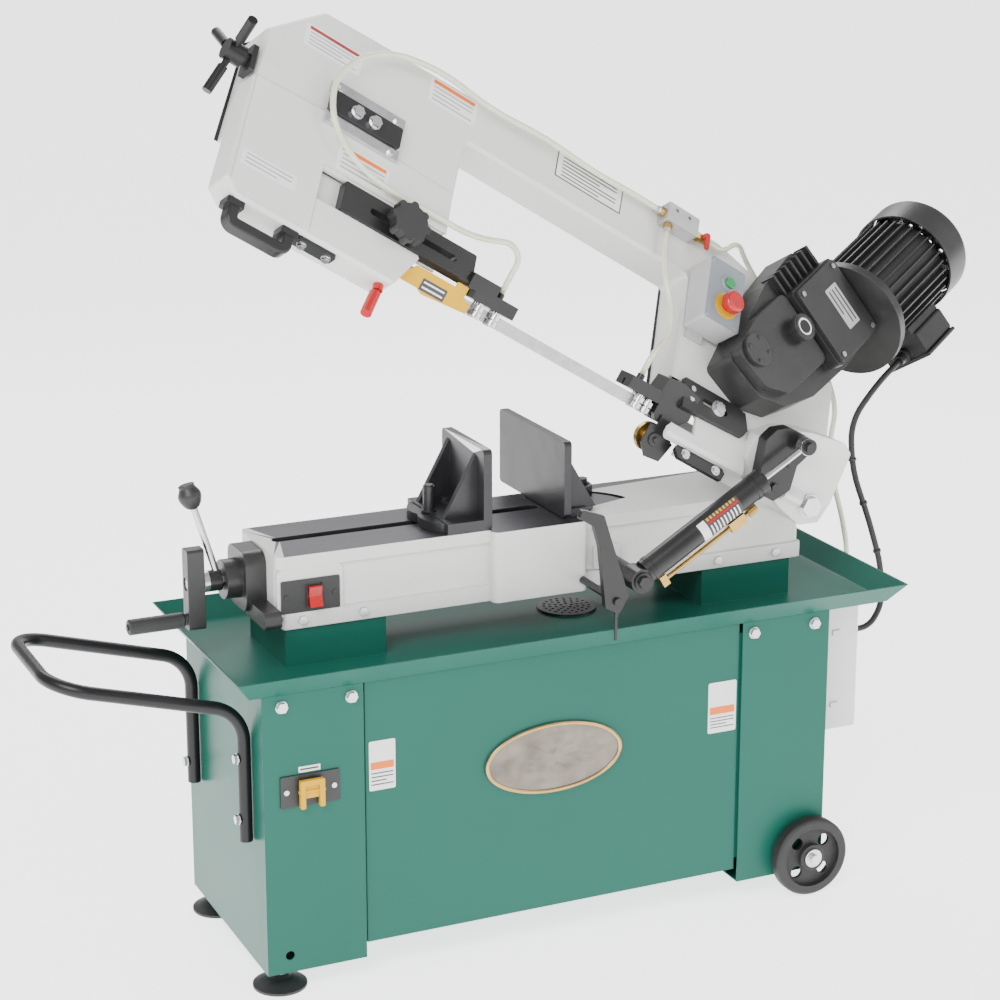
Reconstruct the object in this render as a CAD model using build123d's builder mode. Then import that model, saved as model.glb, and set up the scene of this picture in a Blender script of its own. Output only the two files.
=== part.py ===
from build123d import *
from math import cos, sin, tan, radians, pi
import os

os.makedirs("parts", exist_ok=True)

# ---------------------------------------------------------------- driving dimensions
# Lengths are in millimetres. Stand stations x, y, z count from the left end, the front
# face and the lower edge of the cabinet; place() turns them into the row frame, whose
# origin is on the floor under the middle of the whole machine.
CABINET_LENGTH = 951
CABINET_DEPTH = 355
CABINET_TOP = 438
LEG_WIDTH = 157
SHEET = 2
FOOT_HEIGHT = 34
CENTRE_X = 530.6
CENTRE_Y = 181.4

TABLE_TOP = 612
BED_BOTTOM = 500
BED_FRONT = 98
BED_BACK = 262
BED_LEFT = 62
BED_RIGHT = 953

PIVOT_X = 930.5
PIVOT_Z = 602
PIVOT_R = 12
RAISE_ANGLE = 31.6
LEAN_ANGLE = 35
BLADE_Y = 72

WHEEL_D = 254
WHEEL_PITCH = 782
WHEEL_Y = 138
IDLER_U = -935
DRIVE_U = IDLER_U + WHEEL_PITCH
BLADE_WIDTH = 19
BLADE_THICK = 0.9
FACE_N = 30
WALL = 6
MOTOR_TURN = 33

SCREW_Y = 185
SCREW_Z = 562
SCREW_R = 10
RUN_FIT = 0.05


# ---------------------------------------------------------------- frames
def place(x, y, z):
    return Vector(x - CENTRE_X, y - CENTRE_Y, z + FOOT_HEIGHT)


def top(x, y, z):
    """Level plane that faces up."""
    return Plane(origin=place(x, y, z))


def front(x, y, z):
    """Upright plane that faces the operator: x to the right, y up."""
    return Plane(origin=place(x, y, z), x_dir=(1, 0, 0), z_dir=(0, -1, 0))


def side(x, y, z):
    """Upright plane that faces right: x towards the back, y up."""
    return Plane(origin=place(x, y, z), x_dir=(0, 1, 0), z_dir=(1, 0, 0))


RAISE = radians(RAISE_ANGLE)
LEAN = radians(LEAN_ANGLE)
ALONG = Vector(cos(RAISE), 0, -sin(RAISE))
ABOVE = Vector(sin(RAISE), 0, cos(RAISE))
BACK = Vector(0, 1, 0)
SLAB_UP = ABOVE * cos(LEAN) + BACK * sin(LEAN)
SLAB_OUT = ABOVE * sin(LEAN) - BACK * cos(LEAN)
BLADE_RISE = 9
SLAB_ORIGIN = place(PIVOT_X, BLADE_Y, PIVOT_Z) + ABOVE * BLADE_RISE


def slab(u, y, n):
    """Plane parallel to the leaning front face of the saw arm."""
    return Plane(origin=SLAB_ORIGIN + ALONG * u + SLAB_UP * y + SLAB_OUT * n,
                 x_dir=ALONG, z_dir=SLAB_OUT)


def web(u, v, y):
    """Upright plane through the arm, square to the pivot line: x along the arm."""
    return Plane(origin=place(PIVOT_X, y, PIVOT_Z) + ALONG * u + ABOVE * v,
                 x_dir=ALONG, z_dir=(0, -1, 0))


TURN = radians(MOTOR_TURN)
MOTOR_DIR = ALONG * sin(TURN) + SLAB_UP * cos(TURN)
MOTOR_SIDE = ALONG * cos(TURN) - SLAB_UP * sin(TURN)
GEAR_U = -200
GEAR_Y = 140
GEAR_ORIGIN = SLAB_ORIGIN + ALONG * GEAR_U + SLAB_UP * GEAR_Y


def gear(a, b, n):
    """Plane on the gearbox: x across the motor's axis, y along it, facing outward."""
    return Plane(origin=GEAR_ORIGIN + MOTOR_SIDE * a + MOTOR_DIR * b + SLAB_OUT * n,
                 x_dir=MOTOR_SIDE, z_dir=SLAB_OUT)


MOTOR_A = 76
MOTOR_N = 65


def motor(b, a=0, n=0):
    """Plane square to the motor's axis, b from the gearbox, facing its fan."""
    return Plane(origin=GEAR_ORIGIN + MOTOR_SIDE * (MOTOR_A + a) + MOTOR_DIR * b
                 + SLAB_OUT * (MOTOR_N + n), x_dir=MOTOR_SIDE, z_dir=MOTOR_DIR)


# ---------------------------------------------------------------- building helpers
def plate(plane, width, height, thick, corner=0, mode=Mode.ADD):
    with BuildSketch(plane) as outline:
        if corner:
            RectangleRounded(width, height, corner)
        else:
            Rectangle(width, height)
    extrude(outline.sketch, amount=thick, mode=mode)


def disc(plane, radius, thick, mode=Mode.ADD):
    with BuildSketch(plane) as outline:
        Circle(radius)
    extrude(outline.sketch, amount=thick, mode=mode)


def ring(plane, outer, inner, thick, mode=Mode.ADD):
    with BuildSketch(plane) as outline:
        Circle(outer)
        Circle(inner, mode=Mode.SUBTRACT)
    extrude(outline.sketch, amount=thick, mode=mode)


def prism(plane, points, thick, corner=0, mode=Mode.ADD):
    with BuildSketch(plane) as outline:
        with BuildLine():
            Polyline(*points, close=True)
        make_face()
        if corner:
            fillet(outline.vertices(), radius=corner)
    extrude(outline.sketch, amount=thick, mode=mode)


def slot_cut(plane, length, width, depth, turn=0):
    with BuildSketch(plane) as outline:
        SlotOverall(length, width, rotation=turn)
    extrude(outline.sketch, amount=depth, mode=Mode.SUBTRACT)


def hex_bolt(plane, size, washer=True):
    """Hexagon head on a washer, standing on the plane; size is the thread diameter."""
    lift = 0
    if washer:
        disc(plane, size * 1.05, size * 0.18)
        lift = size * 0.18
    with BuildSketch(plane.offset(lift)) as head:
        RegularPolygon(size * 0.92, 6)
    extrude(head.sketch, amount=size * 0.62)


def save(node, name):
    node.part.label = name
    export_step(node.part, f"parts/{name}.step")


# ================================================================ stand
LEG_DEPTH_MID = CABINET_DEPTH / 2
FOOT_Y = (35, 325)
FOOT_X = 30
STUD_R = 6
AXLE_X = 917
AXLE_Z = 31
AXLE_R = 8


def leg(x_mid, open_side):
    """Folded sheet leg, open towards the middle of the cabinet, with a bottom flange."""
    plate(top(x_mid, LEG_DEPTH_MID, 0), LEG_WIDTH, CABINET_DEPTH, CABINET_TOP)
    inner_x = x_mid + open_side * SHEET
    plate(top(inner_x, LEG_DEPTH_MID, SHEET), LEG_WIDTH, CABINET_DEPTH - 2 * SHEET, CABINET_TOP,
          mode=Mode.SUBTRACT)


with BuildPart() as cabinet_legs:
    leg(LEG_WIDTH / 2, 1)
    for foot_y in FOOT_Y:
        disc(top(FOOT_X, foot_y, -1), STUD_R + 0.3, SHEET + 2, mode=Mode.SUBTRACT)
    disc(front(35, -1, 27.5), 7, -6, mode=Mode.SUBTRACT)
    leg(CABINET_LENGTH - LEG_WIDTH / 2, -1)
    disc(front(AXLE_X, -10, AXLE_Z), AXLE_R + 0.05, -CABINET_DEPTH - 20, mode=Mode.SUBTRACT)
save(cabinet_legs, "cabinet_legs")

PANEL_FRONT = 5
PANEL_BOTTOM = 21.5
PANEL_LENGTH = 630
with BuildPart() as cabinet_panel:
    panel_mid = CABINET_LENGTH / 2
    panel_height = CABINET_TOP - PANEL_BOTTOM
    panel_depth = CABINET_DEPTH - 2 * PANEL_FRONT
    plate(top(panel_mid, LEG_DEPTH_MID, PANEL_BOTTOM), PANEL_LENGTH, panel_depth, panel_height)
    plate(top(panel_mid, LEG_DEPTH_MID, PANEL_BOTTOM + SHEET), PANEL_LENGTH + 2,
          panel_depth - 2 * SHEET, panel_height, mode=Mode.SUBTRACT)
    for tab_x in (LEG_WIDTH - 8, CABINET_LENGTH - LEG_WIDTH + 8):
        plate(front(tab_x, PANEL_FRONT + 4, 230), 50, 380, 2)
save(cabinet_panel, "cabinet_panel")

# Tray: flat floor with a flared wall all round, and two hollow risers for the bed.
RISER_X = (154, 854)
RISER_WIDTH = 160
bed_mid_x = (BED_LEFT + BED_RIGHT) / 2
bed_mid_y = (BED_FRONT + BED_BACK) / 2
bed_length = BED_RIGHT - BED_LEFT
bed_depth = BED_BACK - BED_FRONT
TRAY_FLOOR = 440
TRAY_RIM = 470
TRAY_LEFT = -18
TRAY_RIGHT = 1058
TRAY_DEPTH = 368
TRAY_FLARE = 24
DRAIN_X = 575
DRAIN_Y = 181
DRAIN_R = 40
with BuildPart() as chip_tray:
    tray_x = (TRAY_LEFT + TRAY_RIGHT) / 2
    tray_y = TRAY_DEPTH / 2
    tray_length = TRAY_RIGHT - TRAY_LEFT
    with BuildSketch(top(tray_x, tray_y, CABINET_TOP)):
        Rectangle(tray_length, TRAY_DEPTH)
    with BuildSketch(top(tray_x, tray_y, TRAY_RIM)):
        Rectangle(tray_length + 2 * TRAY_FLARE, TRAY_DEPTH + 2 * TRAY_FLARE)
    loft(ruled=True)
    with BuildSketch(top(tray_x, tray_y, TRAY_FLOOR)):
        Rectangle(tray_length - 2, TRAY_DEPTH - 2)
    with BuildSketch(top(tray_x, tray_y, TRAY_RIM + 2)):
        Rectangle(tray_length + 2 * TRAY_FLARE - 2, TRAY_DEPTH + 2 * TRAY_FLARE - 2)
    loft(ruled=True, mode=Mode.SUBTRACT)
    for riser_x in RISER_X:
        base = top(riser_x, bed_mid_y, TRAY_FLOOR)
        riser_height = BED_BOTTOM - TRAY_FLOOR
        plate(base, RISER_WIDTH, bed_depth - 4, riser_height - 0.3)
        plate(base, RISER_WIDTH - 6, bed_depth - 10, riser_height - 3.3, mode=Mode.SUBTRACT)
    disc(top(DRAIN_X, DRAIN_Y, CABINET_TOP - 5), DRAIN_R, 20, mode=Mode.SUBTRACT)
    # the drain's strainer cup, dropped into the hole in the floor
    disc(top(DRAIN_X, DRAIN_Y, TRAY_FLOOR), DRAIN_R + 7.5, 3)
    disc(top(DRAIN_X, DRAIN_Y, TRAY_FLOOR - 12), DRAIN_R - 1, 12)
    disc(top(DRAIN_X, DRAIN_Y, TRAY_FLOOR - 10), DRAIN_R - 3, 10, mode=Mode.SUBTRACT)
    with BuildSketch(top(DRAIN_X, DRAIN_Y, TRAY_FLOOR - 20)):
        for hole_ring, count in ((9, 5), (18, 10), (27, 15), (36, 20)):
            with PolarLocations(hole_ring, count):
                Circle(2.4)
    extrude(amount=40, mode=Mode.SUBTRACT)
save(chip_tray, "chip_tray")

with BuildPart() as levelling_feet:
    for foot_y in FOOT_Y:
        with BuildSketch(front(FOOT_X, foot_y, -FOOT_HEIGHT)) as foot_half:
            with BuildLine():
                Polyline((0, 0), (41, 0), (41, 4), (30, 9), (16, 15), (11, 20), (11, 26), (STUD_R, 26),
                         (STUD_R, FOOT_HEIGHT + 26), (0, FOOT_HEIGHT + 26), close=True)
            make_face()
        revolve(foot_half.sketch, axis=Axis(place(FOOT_X, foot_y, 0), (0, 0, 1)))
        with BuildSketch(top(FOOT_X, foot_y, -7)) as nut:
            RegularPolygon(11, 6)
            Circle(STUD_R, mode=Mode.SUBTRACT)
        extrude(nut.sketch, amount=6.5)
save(levelling_feet, "levelling_feet")

# Transport wheels on one through axle at the drive end.
TYRE_R = 65
TYRE_WIDTH = 24
WHEEL_FRONT_Y = -30
WHEEL_REAR_Y = CABINET_DEPTH + 30
with BuildPart() as wheel_axle:
    disc(front(AXLE_X, WHEEL_FRONT_Y - 10, AXLE_Z), AXLE_R, -(WHEEL_REAR_Y - WHEEL_FRONT_Y + 20))
    for collar_y in (-1.5, CABINET_DEPTH + 4.5):
        ring(front(AXLE_X, collar_y, AXLE_Z), 14, AXLE_R, 3)
    for washer_y in (WHEEL_FRONT_Y - 0.5, WHEEL_REAR_Y + 3):
        ring(front(AXLE_X, washer_y, AXLE_Z), 15, AXLE_R, 2.5)
save(wheel_axle, "wheel_axle")


def transport_wheel(face_y, outward):
    """Spoked wheel with a rubber tread; outward is -1 at the front and 1 at the back."""
    inner_y = face_y - outward * TYRE_WIDTH
    rear_y = max(face_y, inner_y)
    hub = front(AXLE_X, rear_y, AXLE_Z)
    ring(hub, TYRE_R, TYRE_R - 16, TYRE_WIDTH)
    fillet(faces().filter_by(GeomType.CYLINDER).sort_by(lambda f: f.area)[-1].edges(), radius=6)
    ring(hub, 22, AXLE_R + RUN_FIT, TYRE_WIDTH)
    disc(hub.offset(TYRE_WIDTH / 2 - 3), TYRE_R - 14, 6)
    with BuildSketch(hub.offset(TYRE_WIDTH / 2 - 10)) as holes:
        with PolarLocations(34, 4, start_angle=45):
            Circle(10)
        Circle(AXLE_R + RUN_FIT)
    extrude(holes.sketch, amount=30, mode=Mode.SUBTRACT)


with BuildPart() as transport_wheel_front:
    transport_wheel(WHEEL_FRONT_Y, -1)
save(transport_wheel_front, "transport_wheel_front")

with BuildPart() as transport_wheel_rear:
    transport_wheel(WHEEL_REAR_Y, 1)
save(transport_wheel_rear, "transport_wheel_rear")

# Push handle: one bent tube bolted to the outside of the left leg.
HANDLE_R = 10
HANDLE_X = -11
HANDLE_NEAR_Y = 52
HANDLE_FAR_Y = 300
HANDLE_END_X = -290
HANDLE_END_Z = 480
HANDLE_BEND_Z = 402
with BuildPart() as push_handle:
    with BuildLine() as handle_path:
        FilletPolyline(place(HANDLE_X, HANDLE_NEAR_Y, 200), place(HANDLE_X, HANDLE_NEAR_Y, HANDLE_BEND_Z),
                       place(HANDLE_END_X, HANDLE_NEAR_Y, HANDLE_END_Z),
                       place(HANDLE_END_X, HANDLE_FAR_Y, HANDLE_END_Z),
                       place(HANDLE_X, HANDLE_FAR_Y, HANDLE_BEND_Z),
                       place(HANDLE_X, HANDLE_FAR_Y, 200), radius=60)
    with BuildSketch(top(HANDLE_X, HANDLE_NEAR_Y, 200)):
        Circle(HANDLE_R)
        Circle(HANDLE_R - 2, mode=Mode.SUBTRACT)
    sweep()
save(push_handle, "push_handle")

# Visible hexagon bolts of the stand, all alike.
with BuildPart() as stand_bolts:
    for bolt_x in (30, 138, 813.5, 923.5):
        hex_bolt(front(bolt_x, 0, 420), 9)
    for bolt_x, bolt_z in ((100, 513), (196, 513), (800, 513), (905, 513)):
        hex_bolt(front(bolt_x, BED_FRONT - 2, bolt_z), 8, washer=False)
    for bolt_y in (HANDLE_NEAR_Y, HANDLE_FAR_Y):
        for bolt_z in (235, 330):
            head_plane = Plane(origin=place(HANDLE_X - HANDLE_R, bolt_y, bolt_z), x_dir=(0, 1, 0),
                               z_dir=(-1, 0, 0))
            hex_bolt(head_plane, 8)
save(stand_bolts, "stand_bolts")

PLATE_X = 468.5
PLATE_Z = 268.5
BED_PAD_Y = BED_FRONT
with BuildPart() as front_plates:
    plate(front(71, 0, 287.5), 92, 49, 2.5, 2)
    for screw_x in (-37, 37):
        disc(front(71 + screw_x, -2.5, 287.5), 4, 1.5)
    plate(front(113.5, BED_PAD_Y, 550), 92, 50, 2.5, 2)
    for screw_x in (-38, 38):
        disc(front(113.5 + screw_x, BED_PAD_Y - 2.5, 550), 4, 1.5)
    for wall_x in (-12, 12):
        plate(front(119 + wall_x, BED_PAD_Y - 2.5, 549), 2, 36, 3)
    # oval nameplate with a raised rim
    with BuildSketch(front(PLATE_X, PANEL_FRONT, PLATE_Z)):
        Ellipse(115.5, 56.5)
    extrude(amount=3)
    with BuildSketch(front(PLATE_X, PANEL_FRONT - 3, PLATE_Z)):
        Ellipse(115.5, 56.5)
        Ellipse(109, 50.5, mode=Mode.SUBTRACT)
    extrude(amount=1.6)
save(front_plates, "front_plates")

with BuildPart() as coolant_switch_key:
    plate(front(71, -4.6, 289), 22, 24, 6)
    for leg_x in (-15, 15):
        plate(front(71 + leg_x, -7, 282), 8, 40, 7, 2)
    plate(front(71, -7, 301), 38, 9, 7, 2)
    # pin on which the key rocks
    disc(side(71 - 20.5, -10.5, 288), 2.5, 41)
save(coolant_switch_key, "coolant_switch_key")

BOX_Y = 140
BOX_RIGHT_X = CABINET_LENGTH + 95
GLAND_Y = 130
GLAND_Z = 346
with BuildPart() as electrical_box:
    plate(side(CABINET_LENGTH + 1, BOX_Y, 312), 160, 212, 94, 4)
    fillet(faces().sort_by(Axis.X)[-1].edges(), radius=4)
    plate(side(CABINET_LENGTH + 6, BOX_Y, 312), 150, 202, 80, mode=Mode.SUBTRACT)
    for latch_z in (250, 374):
        plate(front(CABINET_LENGTH + 52, BOX_Y - 80, latch_z), 14, 8, 3)
    disc(side(BOX_RIGHT_X, GLAND_Y, GLAND_Z), 12, 8)
    # elbow where the supply hose goes into the cabinet
    disc(side(CABINET_LENGTH + 0.3, 254, 356), 8, 14)
    disc(side(BOX_RIGHT_X + 8, GLAND_Y, GLAND_Z), 9, 8)
    disc(Plane(origin=place(CABINET_LENGTH + 50, BOX_Y, 206), z_dir=(0, 0, -1)), 13, 10)
    disc(Plane(origin=place(CABINET_LENGTH + 50, BOX_Y, 196), z_dir=(0, 0, -1)), 9, 8)
save(electrical_box, "electrical_box")

PUMP_X = 640
with BuildPart() as coolant_unit:
    plate(top(470, LEG_DEPTH_MID, PANEL_BOTTOM + SHEET + 0.3), 520, 300, 150)
    plate(top(470, LEG_DEPTH_MID, PANEL_BOTTOM + SHEET + 3.3), 514, 294, 160, mode=Mode.SUBTRACT)
    disc(top(PUMP_X, 250, 60), 34, 70)
    disc(top(PUMP_X, 250, 130), 12, 50)
    disc(top(PUMP_X, 250, 180), 48, 8)
    disc(top(PUMP_X, 250, 188), 40, 95)
    plate(top(PUMP_X + 45, 250, 60), 10, 34, 20)
save(coolant_unit, "coolant_unit")

# ================================================================ bed and vise
BLOCK_LEFT = 404
BLOCK_RIGHT = 563
BLOCK_FRONT = 80
SLOT_WIDTH = 20
JAW_PIVOT_X = 581
JAW_PIVOT_Y = 148
JAW_SLOT_R = 91
JAW_BOLT_TURN = 62
JAW_SWING = 45
ROD_X = 553.7
ROD_Z = 518
FOOT_PIN_X = 602.7
FOOT_PIN_Z = 539.6
with BuildPart() as bed_casting:
    plate(top(bed_mid_x + 4, bed_mid_y, BED_BOTTOM), bed_length - 8, bed_depth + 4, 25, 6)
    plate(top(bed_mid_x, bed_mid_y, BED_BOTTOM + 25), bed_length, bed_depth - 8, 87, 12)
    plate(top(bed_mid_x, bed_mid_y, TABLE_TOP - 20), bed_length, bed_depth, 20, 12)
    plate(front(114, BED_FRONT + 6, 556), 104, 72, 6, 8)
    block_mid = (BLOCK_LEFT + BLOCK_RIGHT) / 2
    plate(top(block_mid, 120, BED_BOTTOM), BLOCK_RIGHT - BLOCK_LEFT, 80, TABLE_TOP - BED_BOTTOM, 10)
    disc(front(PIVOT_X, BED_BACK, PIVOT_Z), 27, BED_BACK - BED_FRONT)
    plate(top(bed_mid_x, bed_mid_y + 2, BED_BOTTOM - 5), bed_length - 36, bed_depth - 44, TABLE_TOP
          - BED_BOTTOM - 15, mode=Mode.SUBTRACT)
    plate(top(910, bed_mid_y, BED_BOTTOM + 20), 70, bed_depth - 44, 80, mode=Mode.ADD)
    disc(front(PIVOT_X, BED_BACK + 20, PIVOT_Z), PIVOT_R + RUN_FIT, 250, mode=Mode.SUBTRACT)
    slot_cut(top(305, SCREW_Y, TABLE_TOP + 1), 440, SLOT_WIDTH, -40)
    # curved slot for the fixed jaw's clamping bolt
    slot_from = radians(JAW_BOLT_TURN - JAW_SWING)
    slot_to = radians(JAW_BOLT_TURN)
    with BuildSketch(top(JAW_PIVOT_X, JAW_PIVOT_Y, TABLE_TOP + 1)):
        Circle(JAW_SLOT_R + 5.5)
        Circle(JAW_SLOT_R - 5.5, mode=Mode.SUBTRACT)
        with BuildLine():
            Polyline((0, 0), (200 * cos(slot_from), 200 * sin(slot_from)),
                     (200 * cos(slot_to), 200 * sin(slot_to)), close=True)
        make_face(mode=Mode.INTERSECT)
        with Locations((JAW_SLOT_R * cos(slot_from), JAW_SLOT_R * sin(slot_from)),
                       (JAW_SLOT_R * cos(slot_to), JAW_SLOT_R * sin(slot_to))):
            Circle(5.5)
    extrude(amount=-40, mode=Mode.SUBTRACT)
    disc(top(JAW_PIVOT_X, JAW_PIVOT_Y, TABLE_TOP + 1), 6 + RUN_FIT, -40, mode=Mode.SUBTRACT)
    disc(front(ROD_X, 150, ROD_Z), 6 + RUN_FIT, 100, mode=Mode.SUBTRACT)
    disc(side(BED_LEFT - 5, SCREW_Y, SCREW_Z), SCREW_R + 6, 40, mode=Mode.SUBTRACT)
save(bed_casting, "bed_casting")

with BuildPart() as bed_switch_rocker:
    prism(side(119 - 10, BED_FRONT - 3, 549),
          [(0, 0), (-3.6, 16), (-8, 15), (-6, 0), (-12, -15), (-3.6, -16)], 20)
    # pin on which the rocker tips
    disc(side(119 - 10.6, BED_FRONT - 5.4, 549), 1.8, 21.2)
save(bed_switch_rocker, "bed_switch_rocker")

# Vise screw, its bearing housing, crank and quick release.
BRACKET_LEFT = 6
with BuildPart() as screw_housing:
    plate(side(BRACKET_LEFT + 24, SCREW_Y, SCREW_Z), 84, 92, BED_LEFT - BRACKET_LEFT - 24, 20)
    disc(side(BRACKET_LEFT, SCREW_Y, SCREW_Z), 30, 30)
    plate(side(BRACKET_LEFT + 30, SCREW_Y - 62, SCREW_Z - 40), 90, 26, BED_LEFT - BRACKET_LEFT - 30, 8)
    disc(side(BRACKET_LEFT - 1, SCREW_Y, SCREW_Z), SCREW_R + RUN_FIT, 80, mode=Mode.SUBTRACT)
save(screw_housing, "screw_housing")

CRANK_X = -50
CRANK_ARM = 26
with BuildPart() as vise_screw:
    disc(side(CRANK_X + 2, SCREW_Y, SCREW_Z), SCREW_R, 518 - CRANK_X)
    ring(side(CRANK_X + CRANK_ARM, SCREW_Y, SCREW_Z), 16, SCREW_R, 8)
save(vise_screw, "vise_screw")

with BuildPart() as vise_crank:
    plate(side(CRANK_X, SCREW_Y, SCREW_Z - 8), CRANK_ARM, 124, CRANK_ARM, 5)
    disc(side(CRANK_X - 1, SCREW_Y, SCREW_Z), SCREW_R + 0.02, CRANK_ARM + 2, mode=Mode.SUBTRACT)
    disc(side(CRANK_X - 92, SCREW_Y, SCREW_Z - 55), 5, 92)
    disc(side(CRANK_X - 4, SCREW_Y, SCREW_Z - 55), 9, 4)
save(vise_crank, "vise_crank")

with BuildPart() as crank_grip:
    disc(side(CRANK_X - 90, SCREW_Y, SCREW_Z - 55), 12, 85.5)
    fillet(edges(), radius=2.5)
    disc(side(CRANK_X - 91, SCREW_Y, SCREW_Z - 55), 5 + RUN_FIT, 95, mode=Mode.SUBTRACT)
save(crank_grip, "crank_grip")

LEVER_LEAN = 15
LEVER_BACK = 8
with BuildPart() as release_lever:
    ring(side(CRANK_X + CRANK_ARM + 8.3, SCREW_Y, SCREW_Z), 16, SCREW_R + RUN_FIT, 19)
    lever_dir = Vector(-sin(radians(LEVER_LEAN)), cos(radians(LEVER_LEAN)) * sin(radians(LEVER_BACK)),
                       cos(radians(LEVER_LEAN)) * cos(radians(LEVER_BACK)))
    lever_root = place(-2, SCREW_Y + 13 * sin(radians(LEVER_BACK)), SCREW_Z + 13 * cos(radians(LEVER_BACK)))
    lever_side = Vector(0, cos(radians(LEVER_BACK)), -sin(radians(LEVER_BACK)))
    disc(Plane(origin=lever_root, z_dir=lever_dir), 5.5, 106)
    with BuildSketch(Plane(origin=lever_root + lever_dir * 100, x_dir=lever_side,
                           z_dir=lever_side.cross(lever_dir))) as knob_half:
        with BuildLine():
            Spline((0, 0), (9, 3), (16, 14), (17, 25), (12, 36), (0, 40), tangents=((1, 0), (-1, 0)))
            Line((0, 40), (0, 0))
        make_face()
    revolve(knob_half.sketch, axis=Axis(lever_root, lever_dir))
save(release_lever, "release_lever")

# Movable jaw with its nut, and the lock post on its base.
JAW_Y = 176.5
JAW_DEPTH = 159
JAW_FACE_X = 408
JAW_BASE_Z = TABLE_TOP + 0.5
POST_X = 338
with BuildPart() as movable_jaw:
    plate(Plane(origin=place(JAW_FACE_X - 14, JAW_Y, 675), x_dir=(0, 1, 0), z_dir=(1, 0, 0)),
          JAW_DEPTH, 125, 14, 7)
    plate(top(371, JAW_Y, JAW_BASE_Z), 72, JAW_DEPTH, 17)
    disc(top(372, JAW_Y - 21, JAW_BASE_Z), 58, 15)
    disc(top(372, JAW_Y + 21, JAW_BASE_Z), 58, 15)
    plate(top(430, JAW_Y, JAW_BASE_Z - 1), 43.9, 200, 30, mode=Mode.SUBTRACT)
    for gusset_y in (135, 236):
        prism(front(0, gusset_y, 0), [(JAW_FACE_X - 13, JAW_BASE_Z + 12), (JAW_FACE_X - 13, 728),
                                      (338, JAW_BASE_Z + 12)], 10)
    plate(top(372, SCREW_Y, 585), 40, SLOT_WIDTH - 1, 30)
    plate(top(372, SCREW_Y, 540), 50, 44, 48)
    disc(side(300, SCREW_Y, SCREW_Z), SCREW_R + RUN_FIT, 140, mode=Mode.SUBTRACT)
    # clamping post and the two base bolts
    ring(top(POST_X, 178, JAW_BASE_Z + 17), 12, 8, 2.5)
    disc(top(POST_X, 178, JAW_BASE_Z + 15), 9, 42)
    disc(top(POST_X, 178, JAW_BASE_Z + 57), 7, 2)
    for bolt_y in (160, 214):
        hex_bolt(top(384, bolt_y, JAW_BASE_Z + 17), 10)
save(movable_jaw, "movable_jaw")

FIXED_FACE_X = 530
with BuildPart() as fixed_jaw:
    plate(side(FIXED_FACE_X, 218, 674.5), 239, 121, 12, 7)
    prism(top(0, 0, JAW_BASE_Z), [(FIXED_FACE_X + 2, 102), (571, 108), (600, 140), (611, 197), (636, 214),
                                  (640, 238), (618, 246), (592, 226), (FIXED_FACE_X + 2, 226)], 14, corner=5)
    for gusset_y in (122, 212):
        prism(front(0, gusset_y, 0), [(FIXED_FACE_X + 11, JAW_BASE_Z + 12), (FIXED_FACE_X + 11, 710),
                                      (590, JAW_BASE_Z + 12)], 10)
    disc(top(JAW_PIVOT_X, JAW_PIVOT_Y, 594), 6, 30)
    hex_bolt(top(JAW_PIVOT_X, JAW_PIVOT_Y, JAW_BASE_Z + 14), 12)
    clamp_x = JAW_PIVOT_X + JAW_SLOT_R * cos(radians(JAW_BOLT_TURN))
    clamp_y = JAW_PIVOT_Y + JAW_SLOT_R * sin(radians(JAW_BOLT_TURN))
    disc(top(clamp_x, clamp_y, 594), 5, 30)
    hex_bolt(top(clamp_x, clamp_y, JAW_BASE_Z + 14), 11)
save(fixed_jaw, "fixed_jaw")

# Work stop: rod in the bed, arm that swings on it.
STOP_Y = -24
with BuildPart() as stop_rod:
    disc(front(ROD_X, 148, ROD_Z), 6, 148 - STOP_Y + 16)
save(stop_rod, "stop_rod")

with BuildPart() as stop_arm:
    prism(front(0, STOP_Y, 0), [(ROD_X - 19, ROD_Z - 8), (ROD_X + 4, ROD_Z - 21), (ROD_X + 20, ROD_Z + 6),
                                (546, 608), (531, 655), (495, 668), (490, 655), (514, 640), (524, 606)],
          11, corner=4)
    disc(front(ROD_X, STOP_Y, ROD_Z), 6 + RUN_FIT, 40, mode=Mode.SUBTRACT)
    disc(front(ROD_X + 3, STOP_Y - 4, ROD_Z - 24), 2.5, 0.01 + 3)
    disc(Plane(origin=place(ROD_X + 1, STOP_Y - 5.5, ROD_Z - 15), z_dir=(0, 0, -1)), 2.6, 48)
save(stop_arm, "stop_arm")

# ================================================================ feed cylinder
CYL_Y = -6
ROD_END_U = -90
ROD_END_V = 77
rod_end = place(PIVOT_X, CYL_Y, PIVOT_Z) + ALONG * ROD_END_U + ABOVE * ROD_END_V
cyl_foot = place(FOOT_PIN_X, CYL_Y, FOOT_PIN_Z)
CYL_DIR = (rod_end - cyl_foot).normalized()
CYL_LENGTH = (rod_end - cyl_foot).length
CYL_UP = Vector(0, -1, 0).cross(CYL_DIR) * -1
if CYL_UP.Z < 0:
    CYL_UP = CYL_UP * -1
BARREL_R = 20
ROD_R = 4.5
VALVE_DROP = -31


def cyl(s, up=0, out=0):
    """Plane square to the cylinder's axis, s from its foot pin."""
    return Plane(origin=cyl_foot + CYL_DIR * s + CYL_UP * up + Vector(0, -1, 0) * out,
                 x_dir=(0, -1, 0), z_dir=CYL_DIR)


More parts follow.
